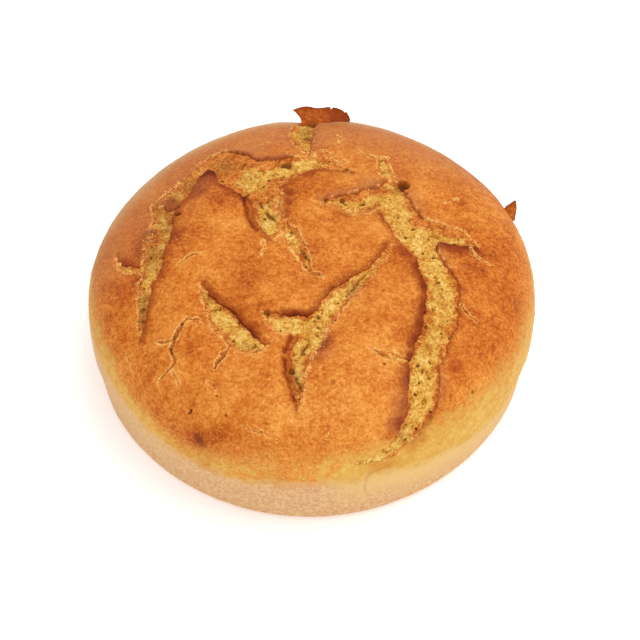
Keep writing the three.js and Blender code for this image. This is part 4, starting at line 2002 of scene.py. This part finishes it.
@dataclass
class CrustPaint:
    """Mixes the crust's colour, one layer over another.

    Its mottling goes from broad clouds to the finest, each value about 0.5.
    """

    finish: CrustFinish
    graph: Graph
    effects: Effects
    cloud: Socket = field(init=False)
    patchy: Socket = field(init=False)
    fine: Socket = field(init=False)
    finer: Socket = field(init=False)
    place: Socket = field(init=False)
    brown: Socket = field(init=False)
    shade: Socket = field(init=False)

    def __post_init__(self) -> None:
        """Mottle how brown the crust is."""
        graph, finish, mottle = self.graph, self.finish, self.effects.mottle
        self.place = graph.add("ShaderNodeTexCoord").outputs["Object"]
        plain = graph.group(mottle, place=self.place).outputs
        self.cloud, self.fine = plain["Cloud"], plain["Mottle"]
        patchy = graph.group(mottle, place=self.place, cloud_size=finish.patch_size)
        self.patchy = patchy.outputs["Cloud"]
        finer = graph.group(mottle, place=self.place, mottle_size=finish.finest_size)
        self.finer = finer.outputs["Mottle"]
        brown = graph.sway(graph.layer("brown"), self.cloud, 0.8)
        brown = graph.sway(brown, self.patchy, 0.55)
        self.brown = graph.sway(graph.sway(brown, self.fine, 0.7), self.finer, 0.7)

    def _cover(self, share: Feed, colour_over: Feed) -> None:
        """Lay a colour over a share of the colour so far."""
        self.shade = self.graph.mix(share, self.shade, colour_over)

    def brown_the_top(self) -> None:
        """Colour the baked crust by how brown it is, with pale flecks and painted grazing sheen and shade.
        """
        graph, finish = self.graph, self.finish
        browns = (finish.pale, finish.golden, finish.plain, finish.brown, finish.dark)
        self.shade = graph.ramp(self.brown, tuple((i / 4, step) for i, step in enumerate(browns)))
        flecks = graph.group(self.effects.specks, place=self.place, spacing=1.5, radius=0.5, share=0.4)
        self._cover(graph.math("MULTIPLY", flecks.outputs["Mask"], 0.4), finish.fleck)
        self._cover(graph.rise(self.finer, 0.52, 0.8, 0.0, 0.3), finish.fleck)
        least = graph.rise(graph.layer("brown"), 0.7, 1.1, 0.7, 0.1)
        self._cover(graph.math("MULTIPLY", graph.layer("painted_sheen"), least), finish.painted_sheen)
        self._cover(graph.rise(graph.layer("faded"), 0.0, 0.5, 0.0, 0.6), finish.painted_sheen)
        self._cover(graph.rise(graph.layer("faded"), 0.5, 1.0, 0.0, 0.75), finish.faded)

    def toast_the_edges(self) -> None:
        """Toast the lips of the tears, with painted shade in the grooves and painted sheen on lifted lips,
        and pale their broken rims.
        """
        graph, finish = self.graph, self.finish
        toast = graph.sway(graph.layer("toast"), self.fine, 0.5)
        toasted = graph.mix(graph.layer("painted_sheen"), finish.toasted, finish.toasted_sheen)
        self._cover(graph.rise(toast, -0.1, 1.0), toasted)
        self._cover(graph.rise(toast, 0.7, 1.4), finish.burnt)
        broken = graph.rise(graph.sway(graph.layer("broken"), self.finer, 3.0), 0.35, 1.0)
        broken = graph.math("MULTIPLY", broken, graph.rise(graph.layer("broken"), 0.0, 0.3))
        self._cover(broken, finish.crumbs)
        self._cover(graph.rise(graph.layer("rim"), 0.1, 0.7), finish.rim)

    def lay_the_band(self) -> None:
        """Lay the mottled golden band above the tin's rim."""
        graph, finish = self.graph, self.finish
        gold = graph.sway(graph.layer("golden"), self.cloud, 1.2)
        gold = graph.rise(graph.sway(gold, self.patchy, 1.2), 0.0, 0.95)
        gold = graph.math("MULTIPLY", gold, graph.rise(graph.layer("golden"), 0.0, 0.5))
        banded = graph.mix(graph.rise(self.patchy, 0.35, 0.65), finish.band, finish.band_pale)
        browned = graph.rise(self.brown, 0.3, 0.9, 0.0, 0.7)
        self._cover(gold, graph.mix(browned, banded, finish.band_brown))

    def lay_the_side(self) -> None:
        """Lay the pale, speckled side below the tin's rim."""
        graph, finish = self.graph, self.finish
        tin = graph.layer("tin")
        speckled = graph.mix(graph.rise(self.fine, 0.3, 0.7), finish.side_brown, finish.side)
        high = graph.rise(tin, 2.0, 30.0, 0.95, 0.0)
        gilt = graph.math("MULTIPLY", graph.rise(graph.layer("golden"), 0.6, 1.0), high)
        speckled = graph.mix(gilt, speckled, finish.side_gold)
        below = graph.sway(graph.sway(tin, self.patchy, 12.0), self.fine, 8.0)
        self._cover(graph.rise(below, -4.0, 6.0), speckled)

    def darken_the_cracks(self) -> None:
        """Darken the slits, more the deeper they are as painted shade inside them, and small specks all
        over.
        """
        graph = self.graph
        specks = graph.group(self.effects.specks, place=self.place).outputs["Mask"]
        specks = graph.math("MULTIPLY", specks, 0.6)
        self._cover(graph.math("MAXIMUM", graph.layer("crack"), specks), self.finish.crack)


@dataclass(frozen=True)
class CrumbFinish:
    """Torn yellow crumb, in painted shade olive in its pores and between its lumps, and toasted along the
    crust.
    """

    palest: Colour = colour(244, 212, 136)
    light: Colour = colour(231, 183, 87)
    plain: Colour = colour(206, 143, 51)
    # deep, pore and sunk are painted shade: between the lumps, in the pores and where the crumb is sunk.
    deep: Colour = colour(158, 96, 28)
    pore: Colour = colour(124, 74, 16)
    sunk: Colour = colour(152, 96, 38)
    toasted: Colour = colour(232, 144, 64)
    toasted_deep: Colour = colour(178, 86, 26)
    cloud_size: float = 6.0
    mottle_size: float = 0.9
    grain_size: float = 0.6
    roughness: float = 0.9
    specular: float = 0.15
    relief: float = 0.35

    def material(self, effects: Effects) -> Material:
        """Build the material.

        Args:
            effects: The shared groups.

        Returns:
            The material.
        """
        material, graph = start_material("crumb")
        place = graph.add("ShaderNodeTexCoord").outputs["Object"]
        sizes = {"cloud_size": self.cloud_size, "mottle_size": self.mottle_size}
        mottle = graph.group(effects.mottle, place=place, **sizes).outputs
        # The crumb is paler on its lumps and darker between them: painted light and shade.
        light = graph.sway(graph.layer("lump"), mottle["Mottle"], 1.1)
        light = graph.sway(light, mottle["Cloud"], 0.85)
        light = graph.math("MULTIPLY_ADD", graph.layer("pale"), 0.1, light)
        stops = ((0.15, self.deep), (0.42, self.plain), (0.7, self.light), (1.0, self.palest))
        shade = graph.ramp(light, stops)
        shade = self._toasted(graph, mottle, light, shade)
        # Painted shade over sunk places, weaker on the lumps.
        depth = graph.rise(light, 0.2, 0.9, 0.95, 0.55)
        shade = graph.mix(graph.math("MULTIPLY", graph.layer("shaded"), depth), shade, self.sunk)
        # Pores are darkened the deeper they go: painted shade.
        pore = graph.rise(graph.layer("pore"), 0.15, 0.9)
        height = graph.group(effects.grain, place=place, size=self.grain_size).outputs["Height"]
        inputs = {"Strength": 0.7, "Distance": self.relief * MM, "Height": height}
        bump = graph.add("ShaderNodeBump", inputs)
        graph.finish(
            {
                "Base Color": graph.mix(pore, shade, self.pore),
                "Roughness": self.roughness,
                "Specular IOR Level": self.specular,
                "Normal": bump.outputs[0],
            }
        )
        return material

    def _toasted(
        self, graph: Graph, mottle: bpy.types.NodeOutputs, light: Socket, shade: Socket
    ) -> Socket:
        """Toast the crumb along the crust.

        Args:
            graph: The material's graph.
            mottle: The outputs of its mottle group.
            light: How light the crumb is.
            shade: The colour so far.

        Returns:
            The colour.
        """
        reach = graph.math("MULTIPLY_ADD", graph.layer("half"), 0.35, 1.2)
        edge = graph.math("DIVIDE", graph.layer("inside"), reach)
        edge = graph.sway(graph.sway(edge, mottle["Cloud"], 3.0), mottle["Mottle"], 1.5)
        edge = graph.math("MULTIPLY_ADD", graph.layer("warm"), -2.2, edge)
        edge = graph.math("MULTIPLY_ADD", graph.layer("pale"), 0.9, edge)
        toasted = graph.mix(graph.rise(light, 0.25, 0.85), self.toasted_deep, self.toasted)
        return graph.mix(graph.rise(edge, 0.2, 1.3, 0.95, 0.0), shade, toasted)


@dataclass(frozen=True)
class BitsFinish:
    """Loose bits: each its own shade between two, toasted where the surface is."""

    name: str
    first: Colour
    second: Colour
    toasted: Colour = colour(196, 96, 30)
    roughness: float = 0.85
    specular: float = 0.15

    def material(self) -> Material:
        """Build the material.

        Returns:
            The material.
        """
        material, graph = start_material(self.name)
        shade = graph.mix(graph.layer("tint"), self.first, self.second)
        toast = graph.math("MULTIPLY", graph.layer("toast"), 0.6)
        graph.finish(
            {
                "Base Color": graph.mix(toast, shade, self.toasted),
                "Roughness": self.roughness,
                "Specular IOR Level": self.specular,
            }
        )
        return material


@dataclass(frozen=True)
class FloorFinish:
    """Plain matt white that glows a little."""

    shade: Colour = (0.93, 0.93, 0.93, 1.0)
    glow: float = 0.3

    def material(self) -> Material:
        """Build the material.

        Returns:
            The material.
        """
        material, graph = start_material("floor")
        graph.finish(
            {
                "Base Color": self.shade,
                "Roughness": 1.0,
                "Specular IOR Level": 0.0,
                "Emission Color": (1.0, 1.0, 1.0, 1.0),
                "Emission Strength": self.glow,
            }
        )
        return material


# -------- the studio


@dataclass(frozen=True)
class SoftLight:
    """A square soft white light, aimed at the loaf: its side in metres and its power in watts."""

    name: str
    place: tuple[float, float, float]
    size: float
    power: float


@dataclass
class Studio:
    """A white floor under soft white light, with the camera above and in front of the loaf."""

    eye: tuple[float, float, float] = (0.0, -0.6213, 0.7487)
    aim: tuple[float, float, float] = (0.004, -0.0047, 0.0259)
    lens: float = 108.1
    sensor: float = 36.0
    nearest: float = 0.01
    floor_size: float = 4.0
    sky: Colour = (1.0, 1.0, 1.0, 1.0)
    sky_strength: float = 0.72
    lights: tuple[SoftLight, ...] = (
        SoftLight("key", (0.5, 0.1, 1.4), 1.1, 9.5),
        SoftLight("fill", (0.15, -1.3, 1.2), 1.2, 3.6),
    )

    def build(self) -> None:
        """Build the floor, the lights, the sky and the camera."""
        self._floor()
        for light in self.lights:
            self._light(light)
        self._sky()
        self._camera()
        bpy.context.scene.view_settings.view_transform = "Standard"

    def _floor(self) -> None:
        """Lay the floor."""
        half = self.floor_size / 2
        mesh = bpy.data.meshes.new("floor")
        corners = [(-half, -half, 0), (half, -half, 0), (half, half, 0), (-half, half, 0)]
        mesh.from_pydata(corners, [], [(0, 1, 2, 3)])
        mesh.materials.append(FloorFinish().material())
        add_object("floor", mesh)

    def _light(self, light: SoftLight) -> None:
        """Hang one light.

        Args:
            light: The light.
        """
        data = bpy.data.lights.new(light.name, "AREA")
        data.size = light.size
        data.energy = light.power
        lamp = add_object(light.name, data)
        lamp.location = light.place
        lamp.rotation_euler = self._aimed(light.place)

    def _aimed(self, place: tuple[float, float, float]) -> Euler:
        """The turn that points a light or camera at the loaf."""
        return (Vector(self.aim) - Vector(place)).to_track_quat("-Z", "Y").to_euler()

    def _sky(self) -> None:
        """Light the world evenly."""
        world = bpy.data.worlds.new("sky")
        world.use_nodes = True
        background = world.node_tree.nodes["Background"]
        background.inputs["Color"].default_value = self.sky
        background.inputs["Strength"].default_value = self.sky_strength
        bpy.context.scene.world = world

    def _camera(self) -> None:
        """Set up the camera."""
        data = bpy.data.cameras.new("camera")
        data.lens = self.lens
        data.sensor_width = self.sensor
        data.clip_start = self.nearest
        camera = add_object("camera", data)
        camera.location = self.eye
        camera.rotation_euler = self._aimed(self.eye)
        bpy.context.scene.camera = camera


# -------- the whole


FAR_EAR: Rows = (
    (-5, 97, -4.2, 5.6), (-3, 97.3, -2.4, 6.6), (-0.5, 97.6, -1.2, 6.9), (2.5, 98.2, -0.4, 6),
    (5.5, 98.8, 0, 5.9), (8.5, 99.1, 0.1, 6.4), (9.6, 99.2, 0.1, 6.1), (10.1, 99.3, 0.1, 5.1),
    (10.8, 99.3, 0.2, 6.2), (13.5, 99.6, 0.4, 5.8), (15.6, 99.8, 0.6, 4.9), (16.4, 99.8, 0.7, 3.9),
    (16.9, 99.9, 0.8, 4.5), (18.6, 100, 0.8, 2.6), (20.3, 100, 0.4, 0.4),
)
SIDE_EAR: Rows = (
    (103, 47, -0.6, 0.4), (103.5, 46, -1.8, 3), (104, 44.8, -3.2, 6), (104.7, 43, -1.6, 4.8),
    (105.4, 41.2, -0.6, 3.2), (106.1, 39.4, 0, 1.4), (106.6, 38, 0, 0.3),
)


def main() -> None:
    """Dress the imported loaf."""
    logging.basicConfig(level=logging.INFO, format="%(message)s")
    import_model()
    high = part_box("loaf")[1]
    form = LoafForm(height=float(round(high[2] / MM)), width=2.0 * round(high[0] / MM))
    noise = Noise(7)
    crackle = Crackle(form, TearMap(), noise)
    mesher = Mesher(noise)
    effects = Effects()
    crust = CrustFinish().material(effects)
    crumb = CrumbFinish().material(effects)
    grains = BitsFinish("grains", colour(208, 144, 58), colour(240, 196, 114)).material()
    flakes = BitsFinish("flakes", colour(226, 140, 66), colour(248, 200, 140)).material()
    body = CrustBody(form, crackle, mesher, noise).build(crust)
    torn = TornCrumb(crackle, mesher, noise).build(crumb)
    far_ear = Ear(form, noise, "ear_back", FAR_EAR, (0.3, 0.45, 0.5, 0.85, 0.9)).build(crust)
    side_ear = Ear(form, noise, "ear_side", SIDE_EAR, (0.75, 0.3, 0.55), lean=0.35).build(crust)
    crumbs = LooseBits("crumbs", 28.0, (0.35, 0.35, 0.25), (1.1, 0.9, 0.7), 5).strew(torn, grains)
    chips = LooseBits("chips", 30.0, (0.4, 0.3, 0.12), (1.3, 0.8, 0.3), 9).strew(body, flakes)
    for piece in (body, torn, far_ear, side_ear, crumbs, chips):
        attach(piece, "root")
        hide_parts("loaf")
        LOG.info("%s: %d triangles", piece.name, len(piece.data.polygons))
    Studio().build()


if __name__ == "__main__":
    main()
